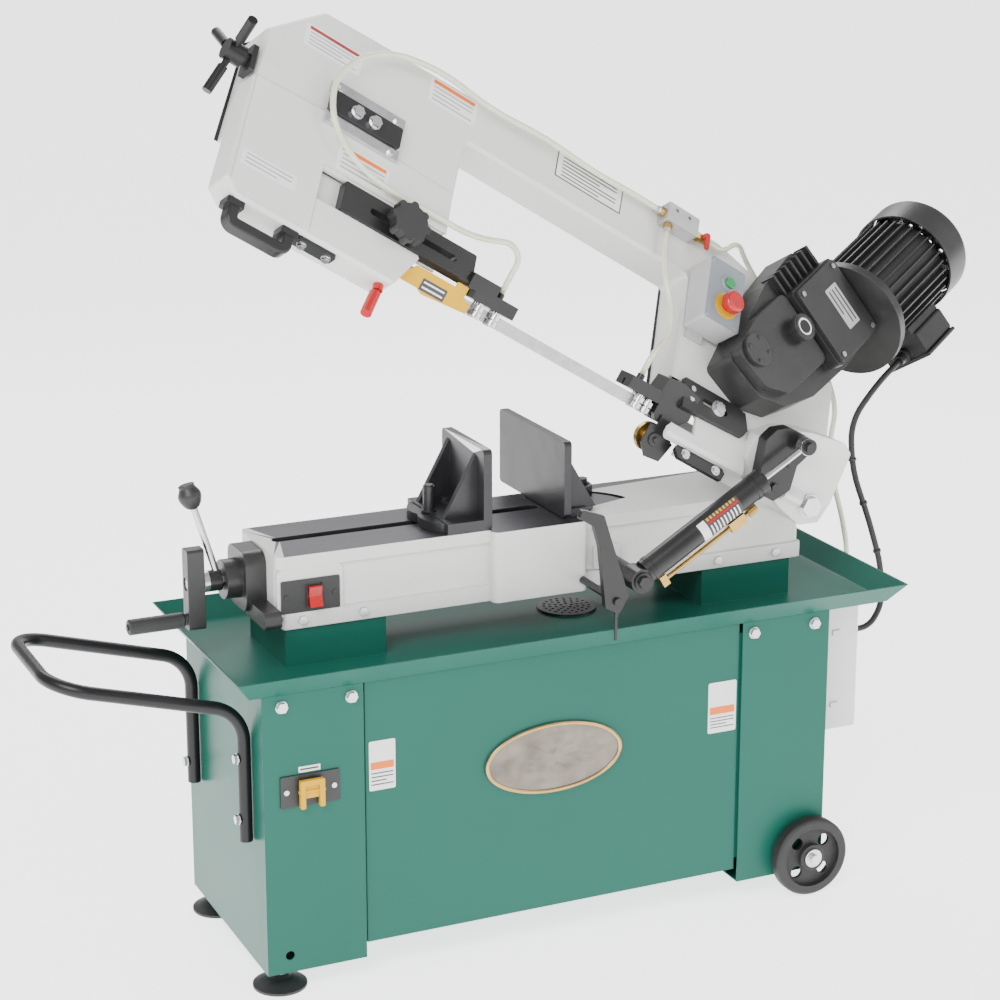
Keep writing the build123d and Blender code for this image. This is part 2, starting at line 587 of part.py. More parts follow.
with BuildPart() as cylinder_foot:
    plate(front(FOOT_PIN_X, 102, FOOT_PIN_Z + 6), 46, 38, 8, 5)
    disc(front(FOOT_PIN_X, 96, FOOT_PIN_Z), 14, 80)
    disc(front(FOOT_PIN_X, 60, FOOT_PIN_Z), 8, 88)
    ring(front(FOOT_PIN_X, -24.5, FOOT_PIN_Z), 14, 8, 2.5)
    with BuildSketch(front(FOOT_PIN_X, -27, FOOT_PIN_Z)):
        RegularPolygon(10, 6)
    extrude(amount=6)
save(cylinder_foot, "cylinder_foot")

with BuildPart() as cylinder_barrel:
    disc(front(FOOT_PIN_X, CYL_Y + 18, FOOT_PIN_Z), 19, 36)
    disc(cyl(15), BARREL_R, 227)
    disc(cyl(236), BARREL_R + 1, 14)
    disc(cyl(250), 12, 5)
    for end_s in (22, 228):
        disc(cyl(end_s), BARREL_R + 1, 6)
    disc(cyl(24), 13, 212, mode=Mode.SUBTRACT)
    disc(cyl(230), ROD_R + RUN_FIT, 40, mode=Mode.SUBTRACT)
    disc(front(FOOT_PIN_X, CYL_Y + 30, FOOT_PIN_Z), 8 + RUN_FIT, 60, mode=Mode.SUBTRACT)
    # feed line below the barrel, from the elbow to the needle valve
    disc(cyl(38, VALVE_DROP), 4, 130)
    plate(cyl(28, VALVE_DROP + 1), 14, 18, 12)
    disc(Plane(origin=cyl(34).origin - CYL_UP * (BARREL_R - 1), z_dir=CYL_UP * -1), 5.5, 8)
    plate(cyl(166, VALVE_DROP + 1), 15, 17, 30)
    disc(Plane(origin=cyl(181).origin - CYL_UP * (BARREL_R - 1), z_dir=CYL_UP * -1), 6, 8)
save(cylinder_barrel, "cylinder_barrel")

ROD_EYE = Plane(origin=rod_end + Vector(0, 8, 0), x_dir=(1, 0, 0), z_dir=(0, -1, 0))

with BuildPart() as cylinder_rod:
    disc(cyl(150), ROD_R, CYL_LENGTH - 150 - 11)
    disc(cyl(150), 13 - RUN_FIT, 14)
    disc(ROD_EYE, 14, 16)
    disc(ROD_EYE.offset(-2), 9.5, 20, mode=Mode.SUBTRACT)
save(cylinder_rod, "cylinder_rod")

with BuildPart() as feed_valve_knob:
    disc(cyl(196.3, VALVE_DROP + 1), 4, 8)
    with BuildSketch(cyl(204, VALVE_DROP + 1)):
        Circle(8)
        with PolarLocations(8.6, 12):
            Circle(1.3, mode=Mode.SUBTRACT)
    extrude(amount=16)
save(feed_valve_knob, "feed_valve_knob")

# ================================================================ saw arm
BOX_LEFT = -1118
BOX_BOTTOM = -51
BOX_RIGHT = -754
SPINE_LOW = 244
SPINE_TOP = 338
DRIVE_LEFT = -312
DRIVE_BOTTOM = -44
REAR_N = -30
SKIRT_N = -16
ARM_OUTLINE = [(BOX_LEFT, BOX_BOTTOM + 22), (BOX_LEFT + 22, BOX_BOTTOM), (-825, BOX_BOTTOM),
               (BOX_RIGHT - 2, 78), (BOX_RIGHT, SPINE_LOW), (DRIVE_LEFT, SPINE_LOW),
               (DRIVE_LEFT + 7, DRIVE_BOTTOM), (-120, DRIVE_BOTTOM + 3), (6, -34), (20, 60), (20, 206),
               (-171, 320), (-256, 340), (-394, SPINE_TOP), (-934, 324), (-1027, 320), (-1112, 236)]
IDLER_POCKET = [(BOX_LEFT + WALL, BOX_BOTTOM + 26), (BOX_LEFT + 26, BOX_BOTTOM + WALL),
                (-829, BOX_BOTTOM + WALL), (BOX_RIGHT - 8, 80), (BOX_RIGHT - 6, 300), (-934, 317),
                (-1024, 313), (-1106, 232)]
DRIVE_POCKET = [(DRIVE_LEFT + WALL, 300), (DRIVE_LEFT + 13, DRIVE_BOTTOM + WALL),
                (-120, DRIVE_BOTTOM + 9), (0, -27), (13, 60), (13, 202), (-171, 312), (-256, 330)]
SLIDE_U = IDLER_U + 4
SLIDE_Y = WHEEL_Y + 35
BAR_Y = 40
BAR_WIDTH = 50
LEG_Y = 40
LEG_THICK = 50
with BuildPart() as arm_casting:
    prism(slab(0, 0, REAR_N), ARM_OUTLINE, FACE_N - REAR_N, corner=9)
    front_edges = faces().sort_by(SortBy.AREA)[-2:].edges()
    front_edges = front_edges.filter_by(lambda e: abs((e.center() - SLAB_ORIGIN).dot(SLAB_OUT) - FACE_N) < 0.1)
    chamfer(front_edges, length=5)
    prism(slab(0, 0, REAR_N - 1), IDLER_POCKET, FACE_N - REAR_N + 1 - WALL, mode=Mode.SUBTRACT)
    prism(slab(0, 0, REAR_N - 1), DRIVE_POCKET, FACE_N - REAR_N + 1 - WALL, mode=Mode.SUBTRACT)
    prism(slab(0, 0, REAR_N - 1),
          [(-800, SPINE_LOW + WALL), (-280, SPINE_LOW + WALL), (-280, 322), (-800, 316)],
          FACE_N - REAR_N + 1 - WALL, mode=Mode.SUBTRACT)
    # the rear edge is cut back low down, where the arm passes the bed
    plate(slab(-550, -20, REAR_N - 1), 1300, 160, SKIRT_N - REAR_N + 1, mode=Mode.SUBTRACT)
    # window in the right wall of the idler housing and the left wall of the drive housing
    plate(slab(-800, 8, SKIRT_N), 100, 60, 39.9, mode=Mode.SUBTRACT)
    plate(slab(-306, 12, SKIRT_N), 40, 50, 34, mode=Mode.SUBTRACT)
    # channel for the guide bar in the front face
    plate(slab(-850, BAR_Y, 17.5), 260, BAR_WIDTH + 1, 40, mode=Mode.SUBTRACT)
    plate(slab(-875, BAR_Y, 14), 234, BAR_WIDTH + 6, 3.5)
    # hinge leg, upright, in front of the bed
    prism(web(0, 0, LEG_Y + LEG_THICK),
          [(-150, -6), (-98, -8), (-44, -26), (0, -34), (30, -16), (34, 20), (24, 104), (4, 114), (-60, 102),
           (-104, 86), (-150, 56)], LEG_THICK, corner=5)
    prism(web(0, 0, LEG_Y + LEG_THICK + 18), [(-110, 62), (18, 62), (16, 104), (2, 112), (-60, 100),
                                              (-100, 84)], LEG_THICK)
    # rear hinge leg and the bridge to it over the bed
    prism(web(0, 0, BED_BACK + 30), [(-70, 30), (-20, -30), (20, -30), (34, 10), (14, 84), (-80, 84)],
          24, corner=6)
    prism(web(0, 0, BED_BACK + 30), [(-96, 44), (14, 44), (12, 84), (-96, 84)], 210)
    disc(slab(DRIVE_U, WHEEL_Y, REAR_N - 12), WHEEL_D / 2 + 8, FACE_N - REAR_N + 12 - WALL,
         mode=Mode.SUBTRACT)
    disc(web(0, 0, BED_BACK + 60), PIVOT_R + RUN_FIT, 400, mode=Mode.SUBTRACT)
    # flat in front of the hinge leg for the cylinder bracket
    prism(web(0, 0, LEG_Y), [(-148, 60), (-60, 100), (-56, -26), (-130, -60), (-148, 0)], 60,
          mode=Mode.SUBTRACT)
    # room for the bed's pivot boss between the two legs
    disc(web(0, 0, BED_BACK + 4), 29, BED_BACK + 4 - 94, mode=Mode.SUBTRACT)
    # spot face for the pivot's washer
    disc(web(0, 0, LEG_Y), 21, 60, mode=Mode.SUBTRACT)
    # room for the right guide casting and its brush in the corner of the drive housing
    prism(web(0, 0, BLADE_Y + 23), [(-340, -70), (-340, 72), (-254, 72), (-254, -12), (-262, -70)], 60,
          mode=Mode.SUBTRACT)
    # bearing seats and shaft holes
    disc(slab(DRIVE_U, WHEEL_Y, 0), 24, 60, mode=Mode.SUBTRACT)
    plate(slab(SLIDE_U, SLIDE_Y, 0), 108, 36, 60, 4, mode=Mode.SUBTRACT)
    # hole for the tension screw in the outer wall
    disc(Plane(origin=slab(BOX_LEFT + 12, SLIDE_Y, 19).origin, z_dir=ALONG * -1), 5.2, 30, mode=Mode.SUBTRACT)
save(arm_casting, "arm_casting")

with BuildPart() as pivot_shaft:
    disc(front(PIVOT_X, BED_BACK + 38, PIVOT_Z), PIVOT_R, BED_BACK + 38 - 30)
    ring(front(PIVOT_X, LEG_Y - 0.3, PIVOT_Z), 19, PIVOT_R, 3)
    with BuildSketch(front(PIVOT_X, LEG_Y - 3.5, PIVOT_Z)):
        RegularPolygon(17, 6)
    extrude(amount=9)
    with BuildSketch(front(PIVOT_X, BED_BACK + 42, PIVOT_Z)):
        RegularPolygon(17, 6)
    extrude(amount=9)
    ring(front(PIVOT_X, BED_BACK + 33, PIVOT_Z), 19, PIVOT_R, 2.5)
save(pivot_shaft, "pivot_shaft")

COVER_THICK = 2
with BuildPart() as wheel_covers:
    cover_plane = slab(0, 0, REAR_N - COVER_THICK - 0.3)
    prism(cover_plane, [(BOX_LEFT - 3, 61), (BOX_RIGHT - 3, 80), (BOX_RIGHT - 1, 246), (-420, 246),
                        (-420, 340), (-934, 327), (-1030, 323), (-1115, 238)], COVER_THICK)
    prism(cover_plane, [(-417, 246), (DRIVE_LEFT - 3, 246), (DRIVE_LEFT, 61), (-118, 61), (-118, 116),
                        (20, 116), (22, 206), (-171, 322), (-256, 342), (-417, 340)], COVER_THICK)
save(wheel_covers, "wheel_covers")


def band_wheel(u, bore, crown_bolts):
    """Flanged, webbed band wheel; its flange is on the side of the front wall."""
    hub = slab(u, WHEEL_Y, -10)
    ring(hub, WHEEL_D / 2 - 0.5, WHEEL_D / 2 - 14, 20)
    ring(hub.offset(20), WHEEL_D / 2 + 3, WHEEL_D / 2 - 14, 3)
    disc(hub.offset(7), WHEEL_D / 2 - 12, 6)
    disc(hub.offset(1), 27, 18)
    with BuildSketch(hub.offset(-2)) as holes:
        with PolarLocations(WHEEL_D / 4 + 12, 5):
            Circle(20)
        Circle(bore)
    extrude(holes.sketch, amount=40, mode=Mode.SUBTRACT)
    if crown_bolts:
        with BuildSketch(hub.offset(19)) as heads:
            with PolarLocations(18, 3):
                RegularPolygon(4.5, 6)
        extrude(heads.sketch, amount=3)


with BuildPart() as idler_wheel:
    band_wheel(IDLER_U, 10 + RUN_FIT, False)
save(idler_wheel, "idler_wheel")

with BuildPart() as drive_wheel:
    band_wheel(DRIVE_U, 11, False)
    disc(slab(DRIVE_U, WHEEL_Y, -12), 12, 78)
save(drive_wheel, "drive_wheel")

# Blade: an endless band that lies flat on the wheels and stands upright at the guides.
GUIDE_LEFT_U = -712
GUIDE_RIGHT_U = -328
RUN_LOW = WHEEL_Y - WHEEL_D / 2
BLADE_MID_V = BLADE_RISE


def blade_section(u, y, turn):
    """Cross-section of the straight run; turn is 0 on the wheels and 1 at the guides."""
    angle = radians((90 - LEAN_ANGLE) * turn)
    width_dir = SLAB_OUT * cos(angle) + SLAB_UP * sin(angle)
    return Plane(origin=SLAB_ORIGIN + ALONG * u + SLAB_UP * y, x_dir=width_dir, z_dir=ALONG)


def twisted_span(stations):
    for first, second in zip(stations, stations[1:]):
        with BuildSketch(blade_section(*first)) as start:
            Rectangle(BLADE_WIDTH, BLADE_THICK)
        with BuildSketch(blade_section(*second)) as end:
            Rectangle(BLADE_WIDTH, BLADE_THICK)
        loft([start.sketch.faces()[0], end.sketch.faces()[0]], ruled=True)


def blend(start, end, steps, turn_from, turn_to):
    """Stations from one end of a twisting span to the other, turning evenly."""
    stations = []
    for step in range(steps + 1):
        part_way = step / steps
        ease = part_way * part_way * (3 - 2 * part_way)
        stations.append((start[0] + (end[0] - start[0]) * part_way,
                         start[1] + (end[1] - start[1]) * part_way,
                         turn_from + (turn_to - turn_from) * ease))
    return stations


band_offset = BLADE_THICK / 2
with BuildPart() as band_blade:
    for wheel_u, sign in ((IDLER_U, -1), (DRIVE_U, 1)):
        with BuildSketch(slab(wheel_u, WHEEL_Y, -BLADE_WIDTH / 2)) as half_ring:
            Circle(WHEEL_D / 2 + BLADE_THICK)
            Circle(WHEEL_D / 2, mode=Mode.SUBTRACT)
            with Locations((-sign * WHEEL_D, 0)):
                Rectangle(2 * WHEEL_D, 2 * WHEEL_D, mode=Mode.SUBTRACT)
        extrude(half_ring.sketch, amount=BLADE_WIDTH)
    plate(slab((IDLER_U + DRIVE_U) / 2, WHEEL_Y + WHEEL_D / 2 + band_offset, -BLADE_WIDTH / 2),
          WHEEL_PITCH, BLADE_THICK, BLADE_WIDTH)
    low_y = RUN_LOW - band_offset
    guide_y = 0
    twisted_span(blend((IDLER_U, low_y), (GUIDE_LEFT_U, guide_y), 5, 0, 1))
    twisted_span([(GUIDE_LEFT_U, guide_y, 1), (GUIDE_RIGHT_U, guide_y, 1)])
    twisted_span(blend((GUIDE_RIGHT_U, guide_y), (DRIVE_U, low_y), 5, 1, 0))
save(band_blade, "band_blade")

# Tension and tracking slide on the front of the idler housing.
TENSION_N = 19
TENSION_R = 4.5
HUB_U = -1134
TENSION_AXIS = SLAB_ORIGIN + SLAB_UP * SLIDE_Y + SLAB_OUT * TENSION_N


def tension(u):
    """Plane square to the tension screw, facing the free end of the arm."""
    return Plane(origin=TENSION_AXIS + ALONG * u, x_dir=SLAB_UP, z_dir=ALONG * -1)


with BuildPart() as tension_slide:
    # carrier behind the front wall, neck through the window, shoe between the gibs
    plate(slab(SLIDE_U, SLIDE_Y - 14, 13.6), 80, 64, 10)
    plate(slab(SLIDE_U, SLIDE_Y, 22), 80, 30, 20)
    plate(slab(SLIDE_U, SLIDE_Y, FACE_N + 1), 122, 36, 13, 3)
    disc(slab(IDLER_U, WHEEL_Y, -12), 10, 30)
    for bolt_u in (-19, 12):
        hex_bolt(slab(SLIDE_U + bolt_u, SLIDE_Y, FACE_N + 14), 10)
    disc(tension(SLIDE_U + 26), TENSION_R + RUN_FIT, 80, mode=Mode.SUBTRACT)
save(tension_slide, "tension_slide")

with BuildPart() as tension_gibs:
    for gib_y in (-28, 28):
        plate(slab(SLIDE_U, SLIDE_Y + gib_y, FACE_N), 128, 18, 10)
        for screw_u in (-50, 50):
            hex_bolt(slab(SLIDE_U + screw_u, SLIDE_Y + gib_y, FACE_N + 10), 6, washer=False)
    # end plate that carries the tension screw, on the outer wall of the housing
    plate(tension(BOX_LEFT - 0.3), 46, 30, 8, 4)
    disc(tension(BOX_LEFT + 4), TENSION_R + RUN_FIT, 20, mode=Mode.SUBTRACT)
save(tension_gibs, "tension_gibs")

with BuildPart() as tension_handle:
    disc(tension(SLIDE_U + 10), TENSION_R, SLIDE_U + 10 - HUB_U + 2)
    disc(tension(HUB_U + 7), 11, 8)
    disc(tension(HUB_U), 16, 28)
    hub_centre = TENSION_AXIS + ALONG * (HUB_U - 16)
    for spoke in (80, 200, 320):
        spoke_dir = SLAB_UP * cos(radians(spoke)) + SLAB_OUT * sin(radians(spoke)) - ALONG * 0.18
        spoke_dir = spoke_dir.normalized()
        spoke_plane = Plane(origin=hub_centre, z_dir=spoke_dir)
        disc(spoke_plane, 5, 30)
        disc(spoke_plane.offset(26), 7.5, 44)
save(tension_handle, "tension_handle")

# Sliding guide bar with the left blade guide.
BAR_LEFT = -937
BAR_RIGHT = -700
BAR_N = 18
KNOB_U = -834
BARB_Y = 73


def guide_block(u_mid, length, post_from, post_to):
    """Guide body that straddles the blade, slotted from below, with an upright post."""
    plate(web(u_mid, 33, BLADE_Y + 21), length, 20, 42)
    plate(web(u_mid, 26, BLADE_Y + 3), length + 2, 16, 6, mode=Mode.SUBTRACT)
    post_mid = (post_from + post_to) / 2
    plate(web(post_mid, 47, BLADE_Y + 21), abs(post_to - post_from), 22, 42)


with BuildPart() as guide_bar:
    bar_length = BAR_RIGHT - BAR_LEFT
    plate(slab((BAR_LEFT + BAR_RIGHT) / 2, BAR_Y, BAR_N), bar_length, BAR_WIDTH, 16, 3)
    slot_cut(slab(-811, BAR_Y, BAR_N - 1), 156, 11, 40)
    guide_block(-652, 76, -704, -655)
    disc(Plane(origin=web(-640, 43, BARB_Y).origin, z_dir=ABOVE), 6, 8)
save(guide_bar, "guide_bar")

ROLLER_R = 8.5
ROLLER_GAP = BLADE_THICK / 2 + 0.05


def guide_bearings(u_first, u_second, back_u):
    """Two pairs of side rollers on upright pins, and one roller behind the blade's back."""
    for roller_u in (u_first, u_second):
        for way in (-1, 1):
            pin = Plane(origin=place(PIVOT_X, BLADE_Y + way * (ROLLER_R + ROLLER_GAP), PIVOT_Z)
                        + ALONG * roller_u, x_dir=ALONG, z_dir=ABOVE)
            disc(pin.offset(1), ROLLER_R, 8)
            disc(pin.offset(11), ROLLER_R, 8)
            disc(pin.offset(-1), 4.5, 24)
    disc(web(back_u, BLADE_MID_V + BLADE_WIDTH / 2 + 6.6, BLADE_Y + 2.6), 6.2, 5.2)


with BuildPart() as left_guide_bearings:
    guide_bearings(-666, -636, -651)
save(left_guide_bearings, "left_guide_bearings")

GUARD_Y = BLADE_Y - 12
with BuildPart() as blade_guard:
    prism(web(0, 0, GUARD_Y), [(-806, 8), (-786, 26), (-718, 26), (-718, 34), (-698, 34), (-698, 16),
                               (-684, 12), (-684, -2), (-762, -8.4),
                               (-772, -3.2), (-806, -3.2)], 2.5)
    plate(web(-745, 24.8, GUARD_Y + 18), 70, 2.4, 18)
save(blade_guard, "blade_guard")


def lobed(plane, radius, lobes, thick):
    """Lobed hand knob: a disc with rounded lobes round its rim."""
    with BuildSketch(plane) as shape:
        Circle(radius - 5)
        with PolarLocations(radius - 6, lobes):
            Circle(6.4)
    extrude(shape.sketch, amount=thick)


KNOB_R = 33
with BuildPart() as guide_knob:
    disc(slab(KNOB_U, BAR_Y, 34.3), 16, 10)
    lobed(slab(KNOB_U, BAR_Y, 44), KNOB_R, 8, 17)
    disc(slab(KNOB_U, BAR_Y, 17.8), 4.8, 36)
save(guide_knob, "guide_knob")

# Right blade guide: slotted plate, casting, block, bearings and wire brush.
BRUSH_U = -303
BRUSH_V = -27
with BuildPart() as right_guide_bracket:
    prism(slab(0, 0, FACE_N + 0.2), [(-292, 60), (-200, 60), (-166, 56), (-158, 28), (-166, 14), (-292, 8)], 10)
    slot_cut(slab(-228, 37, FACE_N - 1), 52, 11, 20)
    prism(web(0, 0, BLADE_Y + 20), [(-334, 24), (-328, 66), (-300, 70), (-262, 62), (-262, 22),
                                    (-286, -1), (-316, -1), (-324, 8), (-324, 24)], 38)
    plate(web(-280, 10, BLADE_Y + 8), 106, 32, 16, mode=Mode.SUBTRACT)
    plate(web(-358, 33, BLADE_Y + 21), 60, 20, 42)
    plate(web(-358, 26, BLADE_Y + 3), 64, 16, 6, mode=Mode.SUBTRACT)
    disc(Plane(origin=web(-364, 43, BARB_Y).origin, z_dir=ABOVE), 6, 8)
    # plate and stub axle of the chip brush
    prism(web(0, 0, 53), [(-322, -8), (-300, -4), (-270, -22), (-278, -54), (-306, -57), (-322, -40)], 3)
    plate(web(-296, 2, 53), 30, 18, 3)
    disc(web(BRUSH_U, BRUSH_V, 49.6), 5, 3)
    disc(web(BRUSH_U, BRUSH_V, 50), 11, 2.5)
    disc(web(BRUSH_U, BRUSH_V, 84), 4, 40)
save(right_guide_bracket, "right_guide_bracket")

with BuildPart() as right_guide_bearings:
    guide_bearings(-354, -336, -345)
save(right_guide_bearings, "right_guide_bearings")

with BuildPart() as wire_brush:
    ring(web(BRUSH_U, BRUSH_V, 80), 12, 4 + RUN_FIT, 22)
    ring(web(BRUSH_U, BRUSH_V, 76), 23, 4 + RUN_FIT, 9)
save(wire_brush, "wire_brush")

# Gearbox on the front face, over the drive wheel's shaft.
with BuildPart() as gearbox:
    prism(gear(0, 0, FACE_N + 0.2), [(-18, -62), (60, -54), (100, -15), (120, 52), (124, 160), (118, 248),
                                     (-50, 248), (-74, 200), (-64, 104)], 56, corner=12)
    prism(gear(0, 0, FACE_N + 50), [(-32, 116), (112, 116), (112, 246), (-32, 246)], 32, corner=10)
    prism(gear(0, 0, FACE_N + 50), [(-22, -56), (50, -48), (84, -12), (88, 110), (-40, 110), (-40, 20)],
          24, corner=14)
    for rib in range(7):
        plate(gear(-46, 122 + rib * 18, FACE_N + 40), 44, 5, 28)
    drive_at = slab(DRIVE_U, WHEEL_Y, FACE_N - 5)
    disc(drive_at, 12 + RUN_FIT, 50, mode=Mode.SUBTRACT)
    disc(motor(190), 46, 58)
    disc(motor(180), 20, 90, mode=Mode.SUBTRACT)
    plate(gear(0, 100, -60), 500, 500, 60 + FACE_N + 0.2, mode=Mode.SUBTRACT)
save(gearbox, "gearbox")

CAP_A = -2
CAP_B = -20
with BuildPart() as gearbox_cover:
    prism(gear(0, 0, FACE_N + 82), [(-28, 120), (108, 120), (108, 242), (-28, 242)], 7, corner=8)
    for screw_a, screw_b in ((-18, 131), (98, 131), (-18, 231), (98, 231)):
        disc(gear(screw_a, screw_b, FACE_N + 89), 4.5, 2.5)
    # bearing cap with its four screws, and the round filler cap
    disc(gear(CAP_A, CAP_B, FACE_N + 74), 27, 7)
    for screw_turn in (45, 135, 225, 315):
        bolt_a = CAP_A + 20 * cos(radians(screw_turn))
        bolt_b = CAP_B + 20 * sin(radians(screw_turn))
        disc(gear(bolt_a, bolt_b, FACE_N + 81), 3, 2)
    disc(gear(20, 84, FACE_N + 74), 16, 12)
    disc(gear(20, 84, FACE_N + 86), 22, 8)
    ring(gear(20, 84, FACE_N + 94), 19, 15, 1.5)
save(gearbox_cover, "gearbox_cover")

# Motor: flange, finned body, fan under a cowl, terminal box.
FLANGE_B = 250
BODY_R = 76
SHAFT_R = 11
TERMINAL_A = 113
GLAND_B = 304
with BuildPart() as motor_body:
    disc(motor(FLANGE_B), 98, 16)
    disc(motor(FLANGE_B + 16), BODY_R, 190)
    fin_count = 34
    for fin in range(fin_count):
        fin_turn = 360 * fin / fin_count
        if abs(fin_turn - 0) > 26 and abs(fin_turn - 360) > 26:
            fin_plane = motor(FLANGE_B + 22)
            with BuildSketch(fin_plane) as fin_face:
                with Locations(Location((0, 0, 0), (0, 0, fin_turn))):
                    with Locations((BODY_R + 3, 0)):
                        Rectangle(14, 2.6)
            extrude(fin_face.sketch, amount=176)
    plate(motor(FLANGE_B + 76, BODY_R), 20, 74, 96)
    disc(motor(FLANGE_B - 1), SHAFT_R + RUN_FIT, 220, mode=Mode.SUBTRACT)
    # terminal box on the motor's side, with its lid and cable gland
    plate(motor(GLAND_B + 26, TERMINAL_A - 7), 40, 84, 90, 6)
    plate(motor(GLAND_B + 24, TERMINAL_A + 16), 6, 90, 94, 2)
    disc(motor(GLAND_B + 26, TERMINAL_A), 12, -10)
    disc(motor(GLAND_B + 16, TERMINAL_A), 9, -16)
save(motor_body, "motor_body")

with BuildPart() as fan_cowl:
    disc(motor(FLANGE_B + 206.5), 90, 72)
    fillet(edges().sort_by(lambda e: -(e.center() - GEAR_ORIGIN).dot(MOTOR_DIR))[0], radius=16)
    disc(motor(FLANGE_B + 205), 87, 68, mode=Mode.SUBTRACT)
    with BuildSketch(motor(FLANGE_B + 260)):
        for slot_ring in (24, 40, 56):
            with PolarLocations(slot_ring, int(slot_ring / 3)):
                Circle(4)
    extrude(amount=40, mode=Mode.SUBTRACT)
save(fan_cowl, "fan_cowl")

with BuildPart() as motor_rotor:
    disc(motor(FLANGE_B - 60), SHAFT_R, 300)
    disc(motor(FLANGE_B + 212), 22, 26)
    for blade in range(7):
        blade_turn = 360 * blade / 7
        with BuildSketch(motor(FLANGE_B + 212)) as blade_face:
            with Locations(Location((0, 0, 0), (0, 0, blade_turn))):
                with Locations((46, 0)):
                    Rectangle(56, 3)
        extrude(blade_face.sketch, amount=24)
save(motor_rotor, "motor_rotor")

# Switch box on its bracket.
SWITCH_U = -274
SWITCH_Y = 203
SWITCH_N = 86
with BuildPart() as switch_box:
    plate(slab(SWITCH_U, SWITCH_Y, 38), 71, 114, SWITCH_N - 38, 5)
    plate(slab(SWITCH_U - 10, SWITCH_Y - 56, FACE_N + 0.2), 30, 24, 8)
    plate(slab(SWITCH_U - 10, SWITCH_Y + 10, FACE_N + 0.2), 30, 60, 8)
    for screw_u, screw_y in ((-29, -49), (29, -49), (-29, 49), (29, 49)):
        disc(slab(SWITCH_U + screw_u, SWITCH_Y + screw_y, SWITCH_N), 4, 1.5)
    disc(slab(SWITCH_U + 4, SWITCH_Y + 22, SWITCH_N - 20), 9.3, 30, mode=Mode.SUBTRACT)
    disc(slab(SWITCH_U + 4, SWITCH_Y - 20, SWITCH_N - 20), 9.3, 30, mode=Mode.SUBTRACT)
    ring(slab(SWITCH_U + 4, SWITCH_Y + 22, SWITCH_N), 14, 9.3, 3)
    ring(slab(SWITCH_U + 4, SWITCH_Y - 20, SWITCH_N), 22, 9.3, 2)
save(switch_box, "switch_box")

with BuildPart() as start_button:
    disc(slab(SWITCH_U + 4, SWITCH_Y + 22, SWITCH_N - 12), 9, 19)
    fillet(edges().sort_by(lambda e: -(e.center() - SLAB_ORIGIN).dot(SLAB_OUT))[0], radius=1.5)
save(start_button, "start_button")

with BuildPart() as stop_button:
    disc(slab(SWITCH_U + 4, SWITCH_Y - 20, SWITCH_N - 12), 9, 26)
    disc(slab(SWITCH_U + 4, SWITCH_Y - 20, SWITCH_N + 12), 18, 14)
    fillet(edges().sort_by(lambda e: -(e.center() - SLAB_ORIGIN).dot(SLAB_OUT))[0], radius=5)
save(stop_button, "stop_button")

# Lifting handle under the idler housing.
LIFT_Y = BOX_BOTTOM - 0.2
LIFT_N = 13
with BuildPart() as lift_handle:
    with BuildLine():
        FilletPolyline(slab(-1090, LIFT_Y, LIFT_N).origin, slab(-1090, LIFT_Y - 34, LIFT_N).origin,
                       slab(-1000, LIFT_Y - 34, LIFT_N).origin, slab(-1000, LIFT_Y, LIFT_N).origin, radius=10)
    with BuildSketch(Plane(origin=slab(-1090, LIFT_Y, LIFT_N).origin, x_dir=ALONG, z_dir=SLAB_UP * -1)):
        RectangleRounded(17, 22, 3)
    sweep(transition=Transition.RIGHT)
    for foot_u in (-1090, -1000):
        plate(Plane(origin=slab(foot_u, LIFT_Y, LIFT_N).origin, x_dir=ALONG, z_dir=SLAB_UP * -1),
              28, 26, 10, 3)
    # cover plate beside the handle, held by two bolts
    pad = Plane(origin=slab(-953, LIFT_Y, LIFT_N).origin, x_dir=ALONG, z_dir=SLAB_UP * -1)
    plate(pad, 66, 22, 6, 5)
    for bolt_u in (-20, 22):
        hex_bolt(Plane(origin=slab(-953 + bolt_u, LIFT_Y - 6, LIFT_N).origin, x_dir=ALONG,
                       z_dir=SLAB_UP * -1), 7)
save(lift_handle, "lift_handle")

# Upper cylinder bracket on the hinge leg.
with BuildPart() as cylinder_bracket:
    prism(web(0, 0, LEG_Y - 0.2), [(-145, 56), (-137, 77), (-116, 91), (-78, 92), (-62, 70), (-72, 44),
                                   (-62, 6), (-80, -22), (-116, -22), (-128, 10)], 24, corner=5)
    for bolt_u, bolt_v in ((-92, -2), (-88, 42)):
        hex_bolt(web(bolt_u, bolt_v, LEG_Y - 24.2), 7)
    disc(web(ROD_END_U, ROD_END_V, LEG_Y - 20), 4, LEG_Y - 20 - CYL_Y + 14)
    disc(web(ROD_END_U, ROD_END_V, CYL_Y - 8.4), 13, 2)
    with BuildSketch(web(ROD_END_U, ROD_END_V, CYL_Y - 10.4)):
        RegularPolygon(9, 6)
    extrude(amount=6)
save(cylinder_bracket, "cylinder_bracket")

# Coolant manifold with its two valves.
with BuildPart() as coolant_manifold:
    plate(slab(-352, 318, FACE_N + 0.2), 64, 34, 26, 2)
    disc(Plane(origin=slab(-384.5, 318, FACE_N + 14).origin, z_dir=ALONG * -1), 6, 12)
    disc(Plane(origin=slab(-372, 300.5, FACE_N + 14).origin, z_dir=SLAB_UP * -1), 6, 12)
    disc(Plane(origin=slab(-319.5, 312, FACE_N + 14).origin, z_dir=ALONG), 7, 26)
    for hole_u in (-366, -340):
        disc(slab(hole_u, 326, FACE_N + 20), 3.2, 10, mode=Mode.SUBTRACT)
save(coolant_manifold, "coolant_manifold")

with BuildPart() as coolant_valve_levers:
    disc(slab(-304, 312, FACE_N + 21.4), 4, 7)
    plate(slab(-300, 303, FACE_N + 25), 9, 30, 3, 3)
save(coolant_valve_levers, "coolant_valve_lever")

